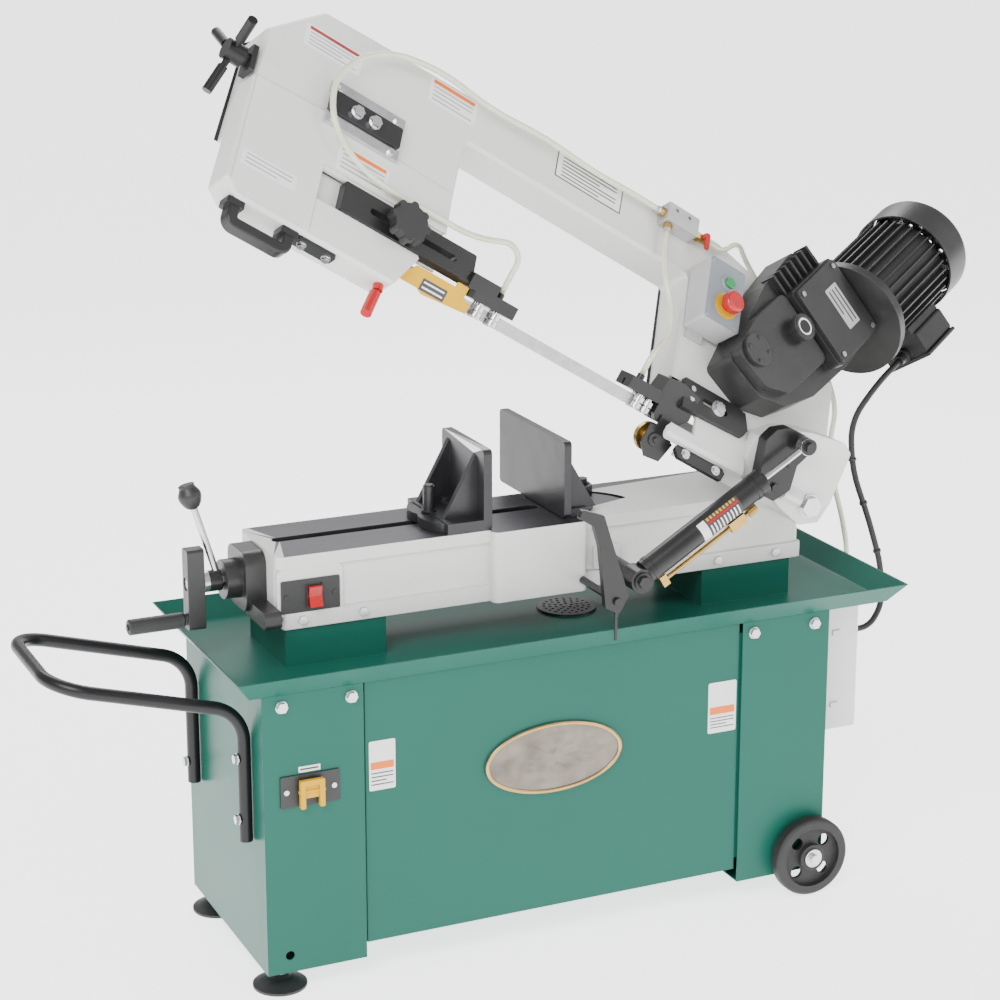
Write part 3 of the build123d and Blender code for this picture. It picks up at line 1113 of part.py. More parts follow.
# Small blade-guard cock with the red sleeve under the idler housing.
with BuildPart() as release_cock:
    disc(Plane(origin=slab(-838, -51.2, 10).origin, z_dir=SLAB_UP * -1), 8, 10)
    disc(Plane(origin=slab(-838, -61, 10).origin, z_dir=(SLAB_UP * -1 - ALONG * 0.2).normalized()), 4, 12)
    disc(Plane(origin=slab(-840.5, -66, 10).origin, z_dir=(SLAB_UP * -1 - ALONG * 0.2).normalized()),
         8.5, 40)
save(release_cock, "release_cock")

# ================================================================ hoses and cable
HOSE_R = 4.5
CABLE_R = 5


def tube(points, radius):
    """Round tube along straight runs joined by arcs as large as the runs allow."""
    radii = []
    for before, corner, after in zip(points, points[1:], points[2:]):
        shorter = min((corner - before).length, (after - corner).length)
        turn = radians((corner - before).get_angle(after - corner))
        radii.append(0.45 * shorter / tan(turn / 2))
    with BuildLine() as path:
        FilletPolyline(*points, radius=radii)
    with BuildSketch(Plane(origin=points[0], z_dir=(points[1] - points[0]).normalized())) as face:
        Circle(radius)
    sweep(sections=face.sketch, path=path.line)
    return radii, sum(edge.length for edge in path.line.edges())


cable_route = [motor(GLAND_B, TERMINAL_A).origin]
cable_route.append(cable_route[0] - MOTOR_DIR * 80)
cable_route += [place(1070, 144, 700), place(1074, 140, 618), place(1108, 138, 532), place(1136, 138, 446),
                place(1136, 132, 380), place(1112, GLAND_Y, GLAND_Z), place(1062.3, GLAND_Y, GLAND_Z)]
with BuildPart() as motor_cable:
    cable_radii, cable_length = tube(cable_route, CABLE_R)
save(motor_cable, "motor_cable")
print("motor cable", round(cable_length), [round(r) for r in cable_radii],
      round(motor_cable.part.volume / (pi * CABLE_R ** 2 * cable_length), 3))

supply_route = [slab(-293.2, 312, 44).origin, slab(-258, 312, 44).origin, slab(-226, 350, 42).origin,
                slab(-176, 350, 8).origin, slab(-108, 312, -2).origin, slab(-36, 274, 6).origin,
                slab(24, 234, 8).origin, slab(44, 176, 14).origin, place(1040, 158, 668), place(1054, 166, 596), place(1082, 176, 524),
                place(1102, 186, 452), place(1098, 214, 384), place(1034, 254, 356),
                place(CABINET_LENGTH + 14.3, 254, 356)]
with BuildPart() as supply_hose:
    supply_radii, supply_length = tube(supply_route, HOSE_R)
save(supply_hose, "supply_hose")
print("supply hose", round(supply_length), [round(r) for r in supply_radii],
      round(supply_hose.part.volume / (pi * HOSE_R ** 2 * supply_length), 3))

HOSE_N = FACE_N + 14
left_hose_route = [slab(-396.7, 318, HOSE_N).origin, slab(-450, 318, HOSE_N).origin,
                   slab(-530, 310, HOSE_N + 4).origin, slab(-630, 316, HOSE_N + 6).origin,
                   slab(-730, 308, HOSE_N + 4).origin, slab(-830, 318, HOSE_N + 8).origin,
                   slab(-915, 300, HOSE_N + 10).origin, slab(-972, 256, HOSE_N + 14).origin,
                   slab(-1004, 196, HOSE_N + 12).origin, slab(-992, 130, HOSE_N + 10).origin,
                   slab(-940, 88, HOSE_N + 6).origin, slab(-870, 80, HOSE_N - 2).origin,
                   slab(-790, 86, HOSE_N - 4).origin, slab(-716, 84, HOSE_N - 2).origin,
                   web(-640, 132, 74).origin, web(-640, 51.2, BARB_Y).origin]

right_hose_route = [slab(-372, 288.3, HOSE_N).origin, slab(-372, 258, HOSE_N).origin,
                    slab(-364, 212, HOSE_N).origin, slab(-340, 162, HOSE_N - 2).origin,
                    slab(-336, 112, HOSE_N - 4).origin, web(-364, 90, BARB_Y).origin,
                    web(-364, 51.2, BARB_Y).origin]
with BuildPart() as guide_hoses:
    left_radii, left_length = tube(left_hose_route, HOSE_R)
    right_radii, right_length = tube(right_hose_route, HOSE_R)
save(guide_hoses, "guide_hoses")
print("left guide hose", round(left_length), [round(r) for r in left_radii])
print("right guide hose", round(right_length), [round(r) for r in right_radii])
print("both guide hoses", round(guide_hoses.part.volume / (pi * HOSE_R ** 2 * (left_length + right_length)), 3))
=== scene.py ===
import bpy
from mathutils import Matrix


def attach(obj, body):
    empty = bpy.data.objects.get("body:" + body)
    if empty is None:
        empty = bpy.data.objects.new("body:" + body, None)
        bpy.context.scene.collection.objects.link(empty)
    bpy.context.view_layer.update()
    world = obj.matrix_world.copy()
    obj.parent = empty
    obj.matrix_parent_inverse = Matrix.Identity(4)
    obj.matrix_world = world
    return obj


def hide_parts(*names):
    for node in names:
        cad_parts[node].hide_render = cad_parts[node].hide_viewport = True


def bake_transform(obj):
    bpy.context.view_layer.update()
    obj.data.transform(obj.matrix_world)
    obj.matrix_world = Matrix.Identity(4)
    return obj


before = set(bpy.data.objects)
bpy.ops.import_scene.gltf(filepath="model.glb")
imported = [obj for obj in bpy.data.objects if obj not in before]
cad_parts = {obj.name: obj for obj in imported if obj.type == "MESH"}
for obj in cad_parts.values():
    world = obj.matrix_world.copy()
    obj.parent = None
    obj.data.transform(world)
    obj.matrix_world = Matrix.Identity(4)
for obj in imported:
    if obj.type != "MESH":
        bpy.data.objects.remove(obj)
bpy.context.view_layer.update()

import bpy
from math import ceil, cos, pi, radians, sin, sqrt, tan
from mathutils import Matrix, Vector, noise

# ------------------------------------------------------------ frames of the machine, in mm
CENTRE_X, CENTRE_Y, FOOT = 530.6, 181.4, 34
SWITCH_U, SWITCH_Y, SWITCH_N = -274, 203, 86
PIVOT_X, PIVOT_Z = 930.5, 602
RAISE, LEAN, TURN = radians(31.6), radians(35), radians(33)
ALONG = Vector((cos(RAISE), 0, -sin(RAISE)))
ABOVE = Vector((sin(RAISE), 0, cos(RAISE)))
BACK = Vector((0, 1, 0))
UP = ABOVE * cos(LEAN) + BACK * sin(LEAN)
OUT = ABOVE * sin(LEAN) - BACK * cos(LEAN)
RIGHT, FRONT, SKY = Vector((1, 0, 0)), Vector((0, -1, 0)), Vector((0, 0, 1))


def place(x, y, z):
    return Vector((x - CENTRE_X, y - CENTRE_Y, z + FOOT)) / 1000


ARM_ORIGIN = place(PIVOT_X, 72, PIVOT_Z) + ABOVE * 0.009


def slab(u, y, n):
    return ARM_ORIGIN + (ALONG * u + UP * y + OUT * n) / 1000


def web(u, v, y):
    return place(PIVOT_X, y, PIVOT_Z) + (ALONG * u + ABOVE * v) / 1000


AXIS = ALONG * sin(TURN) + UP * cos(TURN)
ACROSS = ALONG * cos(TURN) - UP * sin(TURN)


def gear(a, b, n):
    return slab(-200, 140, 0) + (ACROSS * a + AXIS * b + OUT * n) / 1000


# ------------------------------------------------------------ camera, light, floor
camera = bpy.data.cameras.new("camera")
camera_object = bpy.data.objects.new("camera", camera)
bpy.context.scene.collection.objects.link(camera_object)
camera.sensor_width = 36
camera.lens = 90.18
camera.shift_y = -0.05
camera.clip_end = 60
azimuth, elevation = radians(-24.57), radians(15.07)
look = Vector((-sin(azimuth) * cos(elevation), cos(azimuth) * cos(elevation), -sin(elevation)))
camera_object.location = Vector((-1.6223, -3.3924, 1.7496))
camera_object.rotation_euler = look.to_track_quat("-Z", "Y").to_euler()
bpy.context.scene.camera = camera_object


def area_light(name, spot, target, size, power, colour=(1, 1, 1)):
    lamp = bpy.data.lights.new(name, "AREA")
    lamp.shape = "RECTANGLE"
    lamp.size, lamp.size_y = size
    lamp.energy = power
    lamp.color = colour
    lamp_object = bpy.data.objects.new(name, lamp)
    bpy.context.scene.collection.objects.link(lamp_object)
    lamp_object.location = spot
    lamp_object.rotation_euler = (Vector(target) - Vector(spot)).to_track_quat("-Z", "Y").to_euler()


area_light("key_light", (-2.6, -2.6, 3.6), (0, 0, 0.7), (2.6, 2.0), 210)
area_light("fill_light", (3.2, -2.4, 2.2), (0, 0, 0.6), (2.4, 2.4), 62)
area_light("back_light", (0.6, 3.0, 3.2), (0, 0, 0.8), (3.0, 1.6), 80)
area_light("strip_light", (-0.6, -3.4, 0.9), (0, 0, 0.6), (3.0, 0.7), 14)

world = bpy.data.worlds.new("studio")
bpy.context.scene.world = world
world.use_nodes = True
world.node_tree.nodes["Background"].inputs["Color"].default_value = (1, 1, 1, 1)
world.node_tree.nodes["Background"].inputs["Strength"].default_value = 0.75


# ------------------------------------------------------------ materials
def material(name, colour, rough=0.45, metal=0.0, grain=0.06, grain_scale=9.0, bump=0.0, bump_scale=350.0,
             bevel=0.0, coat=0.0, streak=None, glow=0.0, shine=0.5):
    """Procedural surface: tone and gloss wander with noise; small bump; rounded edges by a bevel normal."""
    made = bpy.data.materials.new(name)
    made.use_nodes = True
    tree = made.node_tree
    shader = tree.nodes["Principled BSDF"]
    shader.inputs["Metallic"].default_value = metal
    shader.inputs["Specular IOR Level"].default_value = shine
    shader.inputs["Coat Weight"].default_value = coat
    shader.inputs["Coat Roughness"].default_value = 0.12
    coords = tree.nodes.new("ShaderNodeTexCoord")
    place_at = coords.outputs["Object"]
    if streak:
        mapping = tree.nodes.new("ShaderNodeMapping")
        mapping.inputs["Scale"].default_value = streak
        tree.links.new(place_at, mapping.inputs["Vector"])
        place_at = mapping.outputs["Vector"]
    wander = tree.nodes.new("ShaderNodeTexNoise")
    wander.inputs["Scale"].default_value = grain_scale
    wander.inputs["Detail"].default_value = 6
    tree.links.new(place_at, wander.inputs["Vector"])
    ramp = tree.nodes.new("ShaderNodeValToRGB")
    dark = [max(0.0, c * (1 - grain)) for c in colour]
    light = [min(1.0, c * (1 + grain)) for c in colour]
    ramp.color_ramp.elements[0].position = 0.3
    ramp.color_ramp.elements[1].position = 0.7
    ramp.color_ramp.elements[0].color = (*dark, 1)
    ramp.color_ramp.elements[1].color = (*light, 1)
    tree.links.new(wander.outputs["Fac"], ramp.inputs["Fac"])
    tree.links.new(ramp.outputs["Color"], shader.inputs["Base Color"])
    gloss = tree.nodes.new("ShaderNodeMapRange")
    gloss.inputs["From Min"].default_value = 0.3
    gloss.inputs["From Max"].default_value = 0.7
    gloss.inputs["To Min"].default_value = rough * 0.88
    gloss.inputs["To Max"].default_value = min(1, rough * 1.14)
    tree.links.new(wander.outputs["Fac"], gloss.inputs["Value"])
    tree.links.new(gloss.outputs["Result"], shader.inputs["Roughness"])
    normal = None
    if bevel:
        edge = tree.nodes.new("ShaderNodeBevel")
        edge.samples = 4
        edge.inputs["Radius"].default_value = bevel
        normal = edge.outputs["Normal"]
    if bump:
        fine = tree.nodes.new("ShaderNodeTexNoise")
        fine.inputs["Scale"].default_value = bump_scale
        fine.inputs["Detail"].default_value = 3
        tree.links.new(coords.outputs["Object"], fine.inputs["Vector"])
        lift = tree.nodes.new("ShaderNodeBump")
        lift.inputs["Strength"].default_value = bump
        lift.inputs["Distance"].default_value = 0.0006
        tree.links.new(fine.outputs["Fac"], lift.inputs["Height"])
        if normal:
            tree.links.new(normal, lift.inputs["Normal"])
        normal = lift.outputs["Normal"]
    if normal:
        tree.links.new(normal, shader.inputs["Normal"])
    if glow:
        shader.inputs["Subsurface Weight"].default_value = glow
        shader.inputs["Subsurface Radius"].default_value = (0.004, 0.004, 0.003)
    return made


GREEN = material("green_enamel", (0.008, 0.098, 0.070), 0.34, 0, 0.05, 3, 0.10, 240, 0.0014, shine=0.22)
GREY = material("grey_casting_paint", (0.66, 0.655, 0.64), 0.40, 0, 0.045, 5, 0.30, 190, 0.0022, coat=0.2)
PALE = material("pale_box_enamel", (0.70, 0.70, 0.69), 0.42, 0, 0.03, 6, 0.06, 300, 0.0012)
BLACK = material("black_enamel", (0.014, 0.014, 0.0145), 0.34, 0, 0.2, 14, 0.22, 260, 0.0014,
                 coat=0.1, shine=0.35)
BLACK_CAST = material("black_cast_enamel", (0.020, 0.020, 0.020), 0.36, 0, 0.2, 18, 0.5, 420, 0.0018)
TUBE = material("black_powder_coat", (0.006, 0.006, 0.007), 0.34, 0, 0.15, 20, 0.2, 700, shine=0.35)
JAW = material("machined_iron", (0.040, 0.040, 0.043), 0.36, 0.55, 0.16, 24, 0.25, 500, 0.0008)
TABLE = material("ground_table", (0.070, 0.068, 0.078), 0.38, 0.7, 0.10, 5, 0.12, 600, 0.0006,
                 streak=(1, 14, 1))
STEEL = material("bright_steel", (0.55, 0.55, 0.56), 0.26, 0.95, 0.08, 30, 0.1, 800, 0.0004)
ZINC = material("plated_steel", (0.62, 0.62, 0.64), 0.22, 0.95, 0.08, 40, 0.08, 900, 0.0005)
BLADE = material("blade_steel", (0.42, 0.42, 0.43), 0.30, 0.9, 0.12, 60, 0.05, 900)
ALUMINIUM = material("cast_aluminium", (0.58, 0.58, 0.59), 0.36, 0.85, 0.08, 40, 0.2, 600, 0.0006)
BRASS = material("brass", (0.50, 0.32, 0.10), 0.28, 0.95, 0.12, 50, 0.1, 900, 0.0004)
PLASTIC = material("black_plastic", (0.017, 0.017, 0.018), 0.46, 0, 0.15, 30, 0.35, 900, 0.0008)
GREY_PLASTIC = material("grey_plastic", (0.40, 0.41, 0.405), 0.44, 0, 0.04, 20, 0.25, 900, 0.0014)
YELLOW = material("yellow_enamel", (0.62, 0.34, 0.0), 0.42, 0, 0.06, 20, 0.1, 500, 0.0006, shine=0.25)
RED = material("red_plastic", (0.42, 0.002, 0.003), 0.28, 0, 0.06, 25, 0.08, 500, 0.0010, coat=0.3)
BUTTON_GREEN = material("green_plastic", (0.004, 0.26, 0.06), 0.26, 0, 0.06, 25, 0.05, 500, 0.0006, coat=0.3)
RUBBER = material("black_rubber", (0.016, 0.016, 0.016), 0.62, 0, 0.2, 30, 0.5, 800, 0.0010)
HOSE = material("clear_hose", (0.66, 0.67, 0.52), 0.16, 0, 0.05, 40, 0.0, coat=0.5, glow=0.35)
PEWTER = material("pewter_plate", (0.19, 0.165, 0.14), 0.40, 0.75, 0.30, 30, 0.4, 160)
WHITE = material("white_print", (0.78, 0.78, 0.77), 0.45, 0, 0.02, 30, 0.04, 400)
ORANGE = material("orange_print", (0.80, 0.15, 0.0), 0.45, 0, 0.03, 30, 0.04, 400)
INK = material("dark_print", (0.035, 0.035, 0.04), 0.5, 0, 0.1, 30, 0.04, 400)
DULL_RED = material("dull_red_print", (0.30, 0.03, 0.03), 0.45, 0, 0.1, 30, 0.04, 400)
FLOOR = material("studio_floor", (0.90, 0.90, 0.90), 0.60, 0, 0.01, 1, 0)
FLOOR.node_tree.nodes["Principled BSDF"].inputs["Emission Color"].default_value = (1, 1, 1, 1)
FLOOR.node_tree.nodes["Principled BSDF"].inputs["Emission Strength"].default_value = 2.2
PALE_INK = material("faint_print", (0.34, 0.34, 0.37), 0.5, 0, 0.1, 30, 0.04, 400)
GILT = material("gilt_edge", (0.50, 0.33, 0.13), 0.30, 0.95, 0.12, 50, 0.1, 900)
SLATE = material("slate_enamel", (0.20, 0.225, 0.25), 0.40, 0, 0.04, 20, 0.1, 600)

floor_mesh = bpy.data.meshes.new("floor")
floor_mesh.from_pydata([(-40, -12, 0), (40, -12, 0), (40, 40, 0), (-40, 40, 0)], [], [(0, 1, 2, 3)])
floor = bpy.data.objects.new("floor", floor_mesh)
floor_mesh.materials.append(FLOOR)
bpy.context.scene.collection.objects.link(floor)

LOOKS = {
    GREEN: ["cabinet_legs", "cabinet_panel", "chip_tray"],
    GREY: ["bed_casting", "arm_casting", "idler_wheel", "drive_wheel"],
    PALE: ["electrical_box"],
    BLACK: ["wheel_covers", "cylinder_bracket", "cylinder_foot", "stop_arm", "cylinder_barrel", "lift_handle",
            "guide_bar", "right_guide_bracket", "tension_slide", "stop_rod"],
    BLACK_CAST: ["gearbox", "motor_body", "fan_cowl", "gearbox_cover", "screw_housing", "vise_crank"],
    TUBE: ["push_handle", "tension_handle"],
    JAW: ["movable_jaw", "fixed_jaw"],
    STEEL: ["vise_screw", "motor_rotor"],
    ZINC: ["stand_bolts", "pivot_shaft", "wheel_axle", "cylinder_rod", "release_lever", "left_guide_bearings",
           "right_guide_bearings", "tension_gibs"],
    ALUMINIUM: ["coolant_manifold"],
    BRASS: ["feed_valve_knob", "wire_brush"],
    PLASTIC: ["crank_grip", "guide_knob", "levelling_feet", "front_plates", "coolant_unit"],
    GREY_PLASTIC: ["switch_box"],
    YELLOW: ["blade_guard", "coolant_switch_key"],
    RED: ["stop_button", "bed_switch_rocker", "coolant_valve_lever", "release_cock"],
    BUTTON_GREEN: ["start_button"],
    RUBBER: ["transport_wheel_front", "transport_wheel_rear"],
}
for look_material, nodes in LOOKS.items():
    for node in nodes:
        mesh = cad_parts[node].data
        mesh.materials.clear()
        mesh.materials.append(look_material)


def repaint(node, extra, chooser):
    """Gives each face of a node the material that chooser picks: 0 keeps the first, k is extra[k - 1]."""
    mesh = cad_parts[node].data
    for item in extra:
        mesh.materials.append(item)
    for face in mesh.polygons:
        face.material_index = chooser(face.center, face.normal)


def stand_xyz(point):
    return point.x * 1000 + CENTRE_X, point.y * 1000 + CENTRE_Y, point.z * 1000 - FOOT


def arm_uyn(point):
    offset = (point - ARM_ORIGIN) * 1000
    return offset.dot(ALONG), offset.dot(UP), offset.dot(OUT)


def bed_look(point, normal):
    x, y, z = stand_xyz(point)
    if z > 611.5 and normal.z > 0.9 and 80 < x < 682:
        return 1
    inside = 90 < x < 700 and 104 < y < 245 and z < 611.5
    return 2 if inside else 0


def jaw_look(point, normal):
    x, y, z = stand_xyz(point)
    return 1 if z > 629.6 and abs(y - 160) < 12 and x > 372 else 0


BARREL_R = 20
FOOT_PIN = place(602.7, -6, 539.6)
ROD_LINE = (web(-90, 77, -6) - FOOT_PIN).normalized()
ROD_OVER = Vector((-ROD_LINE.z, 0, ROD_LINE.x))


def barrel_look(point, normal):
    """The feed line and its fittings hang below the barrel's end rings."""
    return 1 if (point - FOOT_PIN).dot(ROD_OVER) * 1000 < -BARREL_R - 1.5 else 0


def foot_look(point, normal):
    return 1 if stand_xyz(point)[1] > 90 else 0


def plates_look(point, normal):
    x, y, z = stand_xyz(point)
    if x > 300:
        return 1
    return 2 if abs(y + 2.5) < 2 and abs(x - 71) > 32 and y < -2.6 else 0


def lever_look(point, normal):
    x, y, z = stand_xyz(point)
    if z > 672:
        return 1
    return 2 if z < 585 else 0


def gear_cover_look(point, normal):
    offset = (point - slab(-200, 140, 0)) * 1000
    a, b, n = offset.dot(ACROSS), offset.dot(AXIS), offset.dot(OUT)
    if (a - 20) ** 2 + (b - 84) ** 2 < 14.8 ** 2 and n > 123:
        return 1
    if n > 118.5 and normal.dot(OUT) > 0.9 and a > -40 and b > 110:
        return 2 if n > 120 else 0
    return 0


def handle_look(point, normal):
    u, y, n = arm_uyn(point)
    return 1 if u > -1126 else 0


def switch_look(point, normal):
    u, y, n = arm_uyn(point)
    if n > SWITCH_N - 0.5 and (u - SWITCH_U - 4) ** 2 + (y - SWITCH_Y + 20) ** 2 < 22.6 ** 2:
        return 1
    return 2 if normal.dot(OUT) > 0.95 and n > SWITCH_N - 3 else 0


def feet_look(point, normal):
    x, y, z = stand_xyz(point)
    return 1 if z > -12 else 0


def tray_look(point, normal):
    x, y, z = stand_xyz(point)
    return 1 if (x - 575) ** 2 + (y - 181) ** 2 < 48.5 ** 2 and z > 439 and normal.z > -0.5 else 0


def slide_look(point, normal):
    u, y, n = arm_uyn(point)
    return 1 if n > 44.2 else 0


def gib_look(point, normal):
    u, y, n = arm_uyn(point)
    return 1 if u < -1117 else 0


def handle_plate_look(point, normal):
    u, y, n = arm_uyn(point)
    return 1 if u > -984 and y < -57.4 else 0


repaint("bed_casting", [TABLE, BLACK_CAST], bed_look)
repaint("movable_jaw", [ZINC], jaw_look)
repaint("cylinder_barrel", [BRASS], barrel_look)
repaint("cylinder_foot", [GREY], foot_look)
repaint("front_plates", [PEWTER, ZINC], plates_look)
repaint("release_lever", [PLASTIC, BLACK], lever_look)
repaint("gearbox_cover", [ZINC, ZINC], gear_cover_look)
repaint("tension_handle", [STEEL], handle_look)
repaint("switch_box", [YELLOW, SLATE], switch_look)
repaint("levelling_feet", [ZINC], feet_look)
repaint("chip_tray", [BLACK], tray_look)
repaint("tension_slide", [ZINC], slide_look)
repaint("tension_gibs", [BLACK], gib_look)
repaint("lift_handle", [ZINC], handle_plate_look)


# ------------------------------------------------------------ building helpers
def add_mesh(name, points, faces, materials, body, indices=None, smooth=True):
    mesh = bpy.data.meshes.new(name)
    mesh.from_pydata(points, [], faces)
    for item in materials:
        mesh.materials.append(item)
    if indices:
        for face, index in zip(mesh.polygons, indices):
            face.material_index = index
    for face in mesh.polygons:
        face.use_smooth = smooth
    mesh.update()
    made = bpy.data.objects.new(name, mesh)
    bpy.context.scene.collection.objects.link(made)
    if body:
        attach(made, body)
    return made


def rounded_route(corners):
    """Centre line of a hose: straight runs joined by arcs as large as the runs allow."""
    line = [corners[0]]
    for before, corner, after in zip(corners, corners[1:], corners[2:]):
        first, second = (before - corner), (after - corner)
        shorter = min(first.length, second.length)
        half_turn = (pi - first.angle(second)) / 2
        reach = 0.45 * shorter
        radius = reach / tan(half_turn)
        enter, leave = corner + first.normalized() * reach, corner + second.normalized() * reach
        middle = corner + (first.normalized() + second.normalized()).normalized() * (radius / cos(half_turn))
        steps = max(4, ceil(2 * half_turn / 0.12))
        arm_in, arm_out = enter - middle, leave - middle
        axis = arm_in.cross(arm_out).normalized()
        for step in range(steps + 1):
            turned = Matrix.Rotation(2 * half_turn * step / steps, 3, axis) @ arm_in
            line.append(middle + turned)
    line.append(corners[-1])
    return line


def even_line(line, spacing):
    """The same line with points no further apart than spacing."""
    dense = [line[0]]
    for start, end in zip(line, line[1:]):
        count = max(1, ceil((end - start).length / spacing))
        dense += [start.lerp(end, step / count) for step in range(1, count + 1)]
    return dense


def tube(name, corners, radius, look_material, sides=16):
    """Round hose with closed ends along the rounded route; returns the object and its centre line."""
    line = even_line(rounded_route(corners), 0.012)
    points, faces = [], []
    side = (line[1] - line[0]).normalized().orthogonal().normalized()
    for index, centre in enumerate(line):
        ahead = line[min(index + 1, len(line) - 1)] - line[max(index - 1, 0)]
        ahead.normalize()
        side = (side - ahead * side.dot(ahead)).normalized()
        other = ahead.cross(side)
        for step in range(sides):
            angle = 2 * pi * step / sides
            points.append(centre + (side * cos(angle) + other * sin(angle)) * radius)
    for ring in range(len(line) - 1):
        for step in range(sides):
            a = ring * sides + step
            b = ring * sides + (step + 1) % sides
            faces.append((a, b, b + sides, a + sides))
    faces.append(tuple(reversed(range(sides))))
    faces.append(tuple(range((len(line) - 1) * sides, len(line) * sides)))
    made = add_mesh(name, points, faces, [look_material], None)
    length = sum((b - a).length for a, b in zip(line, line[1:]))
    return made, line, length


# slender pieces are drawn with these two helpers
def solid(name, outline, depth, look_material, body):
    """Straight prism: the outline's points, and the same points moved by depth."""
    count = len(outline)
    points = list(outline) + [p + depth for p in outline]
    faces = [tuple(range(count - 1, -1, -1)), tuple(range(count, 2 * count))]
    faces += [(k, (k + 1) % count, count + (k + 1) % count, count + k) for k in range(count)]
    made = add_mesh(name, points, faces, [look_material], body, smooth=False)
    return made


def circle(centre, outward, radius, sides, start=0.0):
    across = outward.orthogonal().normalized()
    other = outward.cross(across)
    turns = [start + 2 * pi * k / sides for k in range(sides)]
    return [centre + (across * cos(turn) + other * sin(turn)) * radius for turn in turns]


def bolt(name, centre, outward, size, body, washer=True):
    """Hexagon head, with a washer below it, standing on centre; size is half the width in mm."""
    lift = outward * 0.0
    if washer:
        solid(name + "_washer", circle(centre, outward, size * 1.45 / 1000, 28), outward * 0.0016, ZINC, body)
        lift = outward * 0.0016
    head = circle(centre + lift, outward, size * 1.12 / 1000, 6, 0.4)
    solid(name, head, outward * size * 0.62 / 1000, ZINC, body)


# ------------------------------------------------------------ hoses and cable
def motor_point(b, a=0):
    return gear(76 + a, b, 65)


cable_corners = [motor_point(304, 113)]
cable_corners.append(cable_corners[0] - AXIS * 0.080)
cable_corners += [place(1070, 144, 700), place(1074, 140, 618), place(1108, 138, 532), place(1136, 138, 446),
                  place(1136, 132, 380), place(1112, 130, 346), place(1062.3, 130, 346)]
supply_corners = [slab(-293.2, 312, 44), slab(-258, 312, 44), slab(-226, 350, 42), slab(-176, 350, 8),
                  slab(-108, 312, -2), slab(-36, 274, 6), slab(24, 234, 8), slab(44, 176, 14),
                  place(1040, 158, 668), place(1054, 166, 596), place(1082, 176, 524), place(1102, 186, 452),
                  place(1098, 214, 384), place(1034, 254, 356), place(965.3, 254, 356)]
left_corners = [slab(-396.7, 318, 44), slab(-450, 318, 44), slab(-530, 310, 48), slab(-630, 316, 50),
                slab(-730, 308, 48), slab(-830, 318, 52), slab(-915, 300, 54), slab(-972, 256, 58),
                slab(-1004, 196, 56), slab(-992, 130, 54), slab(-940, 88, 50), slab(-870, 80, 42),
                slab(-790, 86, 40), slab(-716, 84, 42), web(-640, 132, 74), web(-640, 51.2, 73)]
right_corners = [slab(-372, 288.3, 44), slab(-372, 258, 44), slab(-364, 212, 44), slab(-340, 162, 42),
                 slab(-336, 112, 40), web(-364, 90, 73), web(-364, 51.2, 73)]

cable, cable_line, cable_length = tube("motor_cable_skin", cable_corners, 0.005, RUBBER)
supply, supply_line, supply_length = tube("supply_hose_skin", supply_corners, 0.0045, HOSE)
left_hose, left_line, left_length = tube("left_guide_hose", left_corners, 0.0045, HOSE)
right_hose, right_line, right_length = tube("right_guide_hose", right_corners, 0.0045, HOSE)
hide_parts("motor_cable")
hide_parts("supply_hose")
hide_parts("guide_hoses")
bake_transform(cable)
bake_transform(supply)
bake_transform(left_hose)
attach(right_hose, "arm")
for height in (0.668, 0.592, 0.512, 0.444):
    index = min(range(1, len(cable_line) - 1), key=lambda k: abs(cable_line[k].z - height))
    middle, ahead = cable_line[index], (cable_line[index + 1] - cable_line[index - 1]).normalized()
    rim = circle(middle - ahead * 0.002, ahead, 0.0068, 20)
    tie = solid("cable_tie", rim, ahead * 0.004, PLASTIC, None)
    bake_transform(tie)

# ------------------------------------------------------------ toothed blade
WHEEL_R, WHEEL_Y, IDLER_U, DRIVE_U = 127, 138, -935, -153
TWIST_LEFT, TWIST_RIGHT = -712, -328
HALF_WIDTH, HALF_THICK, TOOTH, GULLET = 9.5, 0.45, 4.2, 1.7


def blade_stations():
    """Centre and width direction all round the loop, every half tooth."""
    low = WHEEL_Y - WHEEL_R - HALF_THICK
    spans = []

    def straight(u0, y0, t0, u1, y1, t1):
        length = sqrt((u1 - u0) ** 2 + (y1 - y0) ** 2)
        count = 2 * round(length / TOOTH)
        for step in range(count):
            share = step / count
            ease = share * share * (3 - 2 * share)
            angle = (pi / 2 - LEAN) * (t0 + (t1 - t0) * ease)
            width = OUT * cos(angle) + UP * sin(angle)
            spans.append((slab(u0 + (u1 - u0) * share, y0 + (y1 - y0) * share, 0), width))

    def arc(u, start):
        radius = WHEEL_R + HALF_THICK
        count = 2 * round(pi * radius / TOOTH)
        for step in range(count):
            angle = start + pi * step / count
            spans.append((slab(u + radius * cos(angle), WHEEL_Y + radius * sin(angle), 0), OUT.copy()))

    straight(IDLER_U, low, 0, TWIST_LEFT, 0, 1)
    straight(TWIST_LEFT, 0, 1, TWIST_RIGHT, 0, 1)
    straight(TWIST_RIGHT, 0, 1, DRIVE_U, low, 0)
    arc(DRIVE_U, -pi / 2)
    high = WHEEL_Y + WHEEL_R + HALF_THICK
    straight(DRIVE_U, high, 0, IDLER_U, high, 0)
    arc(IDLER_U, pi / 2)
    return spans


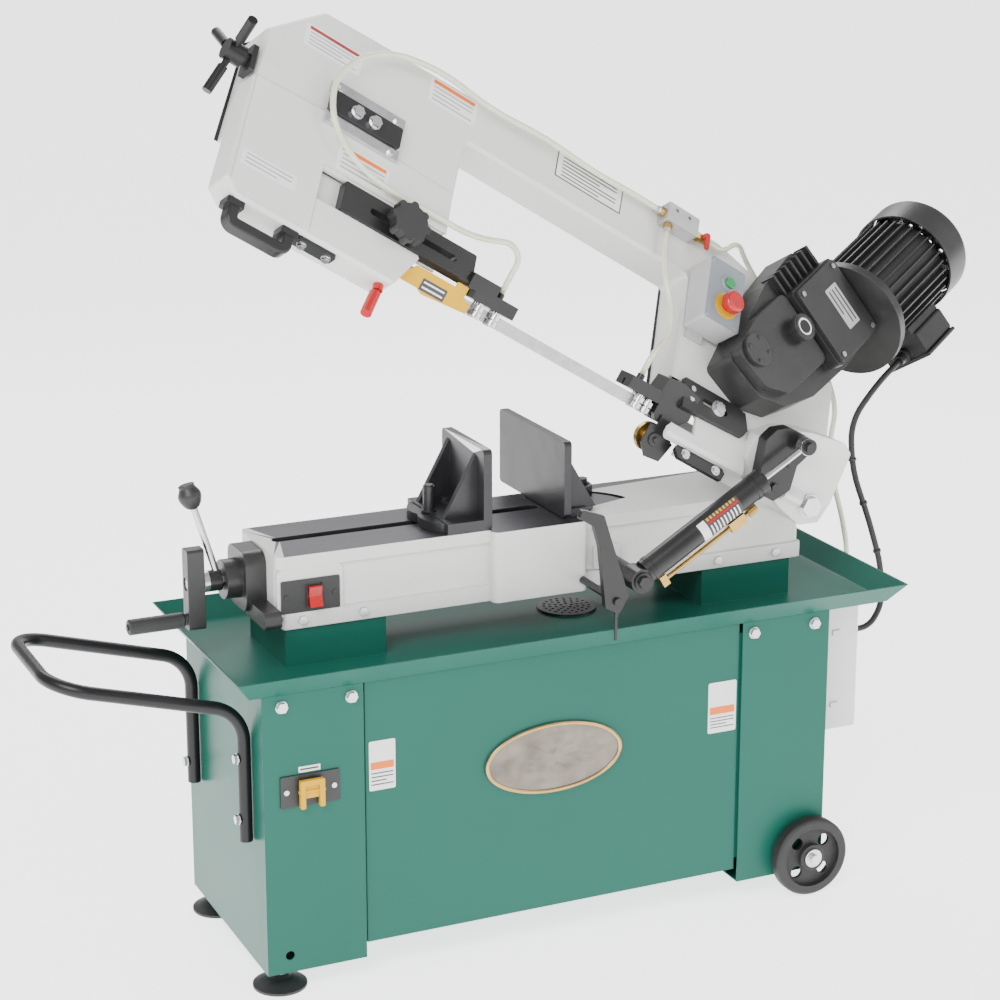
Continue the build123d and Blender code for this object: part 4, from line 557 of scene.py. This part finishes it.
stations = blade_stations()
blade_points, blade_faces = [], []
for index, (centre, width) in enumerate(stations):
    ahead = (stations[(index + 1) % len(stations)][0] - stations[index - 1][0]).normalized()
    thick = ahead.cross(width).normalized() * HALF_THICK / 1000
    depth = HALF_WIDTH if index % 2 == 0 else HALF_WIDTH - GULLET
    back, tooth = centre + width * HALF_WIDTH / 1000, centre - width * depth / 1000
    blade_points += [back - thick, back + thick, tooth + thick, tooth - thick]
total = len(stations)
for index in range(total):
    following = (index + 1) % total
    for corner in range(4):
        after = (corner + 1) % 4
        blade_faces.append((index * 4 + corner, index * 4 + after,
                            following * 4 + after, following * 4 + corner))
blade = add_mesh("toothed_blade", blade_points, blade_faces, [BLADE], "arm", smooth=False)
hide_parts("band_blade")


# ------------------------------------------------------------ plain printed plates
def printed_plate(name, centre, right, up, size, body, header=None, rows=4, thick=0.25, paper=WHITE, ink=None,
                  band_at=1.0):
    """Thin rounded plate with a coloured header band and plain bars; it carries no writing."""
    width, height = size
    outward = right.cross(up).normalized()
    points, faces, indices = [], [], []

    def slab_of(cx, cy, w, h, lift, tall, index, corner):
        outline = []
        for sx, sy, start in ((1, -1, -pi / 2), (1, 1, 0), (-1, 1, pi / 2), (-1, -1, pi)):
            for step in range(4):
                angle = start + (pi / 2) * step / 3
                outline.append((cx + sx * (w / 2 - corner) + corner * cos(angle),
                                cy + sy * (h / 2 - corner) + corner * sin(angle)))
        base = len(points)
        count = len(outline)
        for level in (lift, lift + tall):
            for x, y in outline:
                points.append(centre + (right * x + up * y + outward * level) / 1000)
        faces.append(tuple(base + count + k for k in range(count)))
        indices.append(index)
        faces.append(tuple(base + count - 1 - k for k in range(count)))
        indices.append(index)
        for k in range(count):
            nxt = (k + 1) % count
            faces.append((base + k, base + nxt, base + count + nxt, base + count + k))
            indices.append(index)

    slab_of(0, 0, width, height, 0.02, thick, 0, min(width, height) * 0.06)
    top = height / 2 - height * 0.06
    if header:
        band = height * 0.15
        middle = (band_at - 0.5) * height * 0.74
        slab_of(0, middle, width * 0.88, band, thick, 0.06, 1, 0.3)
        top = middle - band / 2 - height * 0.04
    bottom = -height / 2 + height * 0.08
    pitch = (top - bottom) / max(rows, 1)
    for row in range(rows):
        share = 0.84 if row % 3 != 2 else 0.58
        shift = -(0.84 - share) * width / 2
        slab_of(shift, top - pitch * (row + 0.5), width * share, pitch * 0.34, thick, 0.05, 2, 0.15)
    return add_mesh(name, points, faces, [paper, header or INK, ink or INK], body, indices, smooth=False)


FACE = 30
STEP_HEIGHT = 2.4
printed_plate("leg_notice", place(187, 4.6, 303), RIGHT, SKY, (42, 78), "stand", ORANGE, 4, band_at=0.5)
printed_plate("panel_notice", place(762, 4.6, 303), RIGHT, SKY, (50, 84), "stand", ORANGE, 4, band_at=0.42)
printed_plate("switch_tag", place(71, 0, 319), RIGHT, SKY, (34, 9), "stand", None, 1)
ON_STEP = FACE + STEP_HEIGHT
printed_plate("arm_notice_low", slab(-1058, 14, ON_STEP), ALONG, UP, (92, 24), "arm", None, 3, ink=PALE_INK)
printed_plate("arm_notice_top", slab(-1003, 264, FACE), ALONG, UP, (100, 38), "arm", DULL_RED, 4,
              ink=PALE_INK)
printed_plate("arm_notice_slide", slab(-915, 98, ON_STEP), ALONG, UP, (88, 44), "arm", ORANGE, 4,
              ink=PALE_INK)
printed_plate("arm_notice_glasses", slab(-790, 298, FACE), ALONG, UP, (88, 44), "arm", ORANGE, 4,
              ink=PALE_INK)
printed_plate("spine_notice", slab(-523, 303, FACE), ALONG, UP, (130, 46), "arm", None, 6)
for side_y in (-22.6, 22.6):
    solid("notice_rule", [slab(-588, 303 + side_y - 0.9, FACE), slab(-458, 303 + side_y - 0.9, FACE),
                          slab(-458, 303 + side_y + 0.9, FACE), slab(-588, 303 + side_y + 0.9, FACE)],
          OUT * 0.0005, INK, "arm")
for side_u in (-588, -458):
    solid("notice_rule", [slab(side_u - 0.9, 280, FACE), slab(side_u + 0.9, 280, FACE),
                          slab(side_u + 0.9, 326, FACE), slab(side_u - 0.9, 326, FACE)],
          OUT * 0.0005, INK, "arm")
printed_plate("guard_plate", web(-748, 5.5, 57.4), ALONG, ABOVE, (44, 18), "guide_carriage", None, 2,
              paper=INK, ink=WHITE)

# raised lower half of the idler housing's front, as the casting shows it
step = [(-1110, 150), (-995, 156), (-860, 146), (-760, 143), (-758, 72), (-977, 72), (-977, -44),
        (-1096, -44), (-1110, -30)]
STEP_ROOT = 0.2
solid("housing_step", [slab(u, y, FACE - STEP_ROOT) for u, y in step],
      OUT * (STEP_HEIGHT + STEP_ROOT) / 1000, GREY, "arm")

# bolt and washer in the slot of the right guide, two bolts on its upright face
bolt("guide_slot_bolt", slab(-222, 37, FACE + 10.2), OUT, 9, "arm")
for bolt_y in (28, 46):
    bolt("guide_face_bolt", slab(-276, bolt_y, FACE + 10.2), OUT, 4.5, "arm", washer=False)

# lower flange plate of the drive housing with its two bolts
flange = [(-272, -43), (-180, -43), (-174, -49), (-180, -64), (-268, -64), (-276, -52)]
solid("flange_plate", [slab(u, y, 10) for u, y in flange], OUT * 0.007, BLACK, "arm")
for bolt_u in (-256, -194):
    bolt("flange_bolt", slab(bolt_u, -53, 17), OUT, 5.5, "arm")

# ------------------------------------------------------------ pewter nameplate with a plain hill relief
PLATE_X, PLATE_Z, PLATE_Y = 468.5, 268.5, 1.3
PLATE_HALF_WIDTH, PLATE_HALF_HEIGHT, RELIEF = 108.5, 50, 1.9
rings, sectors = 16, 96
plate_points, plate_faces = [place(PLATE_X, PLATE_Y, PLATE_Z)], []
for ring in range(1, rings + 1):
    share = ring / rings
    for sector in range(sectors):
        angle = 2 * pi * sector / sectors
        x, z = PLATE_HALF_WIDTH * share * cos(angle), PLATE_HALF_HEIGHT * share * sin(angle)
        hills = noise.noise(Vector((x * 0.045, z * 0.07, 3.1)))
        hills += 0.5 * noise.noise(Vector((x * 0.16, z * 0.2, 8.7)))
        lift = RELIEF * max(-0.45, hills) * (1 - share ** 6)
        plate_points.append(place(PLATE_X + x, PLATE_Y - lift, PLATE_Z + z))
for sector in range(sectors):
    plate_faces.append((0, 1 + sector, 1 + (sector + 1) % sectors))
for ring in range(rings - 1):
    base = 1 + ring * sectors
    for sector in range(sectors):
        after = (sector + 1) % sectors
        plate_faces.append((base + sector, base + sectors + sector, base + sectors + after, base + after))
add_mesh("nameplate_relief", plate_points, plate_faces, [PEWTER], "stand")
rim_points, rim_faces = [], []
for sector in range(sectors):
    angle = 2 * pi * sector / sectors
    for wide, high, y in ((115.2, 56.2, 0.1), (109.2, 50.7, 0.1), (109.2, 50.7, 0.5), (115.2, 56.2, 0.5)):
        rim_points.append(place(PLATE_X + wide * cos(angle), y, PLATE_Z + high * sin(angle)))
for sector in range(sectors):
    after = (sector + 1) % sectors
    for corner in range(4):
        nxt = (corner + 1) % 4
        rim_faces.append((sector * 4 + corner, sector * 4 + nxt, after * 4 + nxt, after * 4 + corner))
add_mesh("nameplate_gilt_rim", rim_points, rim_faces, [GILT], "stand")

# ------------------------------------------------------------ coloured band printed round the barrel
def barrel_patch(name, s0, s1, from_turn, to_turn, look_material, lift):
    """Printed patch on the barrel between two lengths and two angles; 0 degrees faces the operator."""
    points, faces = [], []
    steps = 14
    for level in (BARREL_R + 0.05 + lift, BARREL_R + 0.25 + lift):
        for length in (s0, s1):
            for step in range(steps + 1):
                turn = radians(from_turn + (to_turn - from_turn) * step / steps)
                around = FRONT * cos(turn) + ROD_OVER * sin(turn)
                points.append(FOOT_PIN + (ROD_LINE * length + around * level) / 1000)
    row = steps + 1
    for step in range(steps):
        faces.append((2 * row + step, 2 * row + step + 1, 3 * row + step + 1, 3 * row + step))
        faces.append((step, row + step, row + step + 1, step + 1))
        faces.append((step, step + 1, 2 * row + step + 1, 2 * row + step))
        faces.append((row + step, 3 * row + step, 3 * row + step + 1, row + step + 1))
    faces.append((0, 2 * row, 3 * row, row))
    faces.append((steps, row + steps, 3 * row + steps, 2 * row + steps))
    add_mesh(name, points, faces, [look_material], "barrel", smooth=False)


barrel_patch("barrel_print_white", 118, 132, -48, 52, WHITE, 0)
barrel_patch("barrel_print_dark", 133, 196, -48, 52, INK, 0)
barrel_patch("barrel_print_red", 134, 195, 22, 32, RED, 0.15)
for index in range(9):
    barrel_patch("barrel_print_yellow", 136 + index * 6.5, 139.5 + index * 6.5, 36, 50, YELLOW, 0.15)
    barrel_patch("barrel_print_bar", 136 + index * 6.5, 138.5 + index * 6.5, -38, 14, WHITE, 0.15)

# ------------------------------------------------------------ plain badge and plate on the gearbox
def flat_ring(name, centre, outward, outer, inner, thick, look_material, body, sides=48):
    """Flat ring lying on centre, thick mm high along outward."""
    points, faces = [], []
    for radius, level in ((outer, 0.02), (outer, thick), (inner, thick), (inner, 0.02)):
        points += [p + outward * level / 1000 for p in circle(centre, outward, radius / 1000, sides)]
    for corner in range(4):
        first, second = corner * sides, (corner + 1) % 4 * sides
        for k in range(sides):
            after = (k + 1) % sides
            faces.append((first + k, first + after, second + after, second + k))
    return add_mesh(name, points, faces, [look_material], body, smooth=False)


CAP_TOP = gear(20, 84, FACE + 94)
flat_ring("filler_cap_ring", CAP_TOP, OUT, 14.2, 11.4, 0.6, WHITE, "arm")
solid("filler_cap_disc", circle(CAP_TOP + OUT * 0.00002, OUT, 0.0108, 36), OUT * 0.0008, BLACK, "arm")
printed_plate("gearbox_plate", gear(40, 196, FACE + 89.1), ACROSS, AXIS, (74, 34), "arm", None, 3,
              paper=ALUMINIUM)

# brass tee and nut of the coolant valve, round the manifold's own outlet
solid("valve_nut", circle(slab(-318.9, 312, 44), ALONG, 0.0092, 6, 0.3), ALONG * 0.008, BRASS, "arm")
solid("valve_sleeve", circle(slab(-310.4, 312, 44), ALONG, 0.0073, 28), ALONG * 0.0165, BRASS, "arm")
for stub_u, stub_v, stub_way in ((-384.6, 318, ALONG * -1), (-372, 300.4, UP * -1)):
    nut_outline = circle(slab(stub_u, stub_v, 44), stub_way, 0.0078, 6, 0.2)
    solid("hose_nut", nut_outline, stub_way * 0.007, BRASS, "arm")
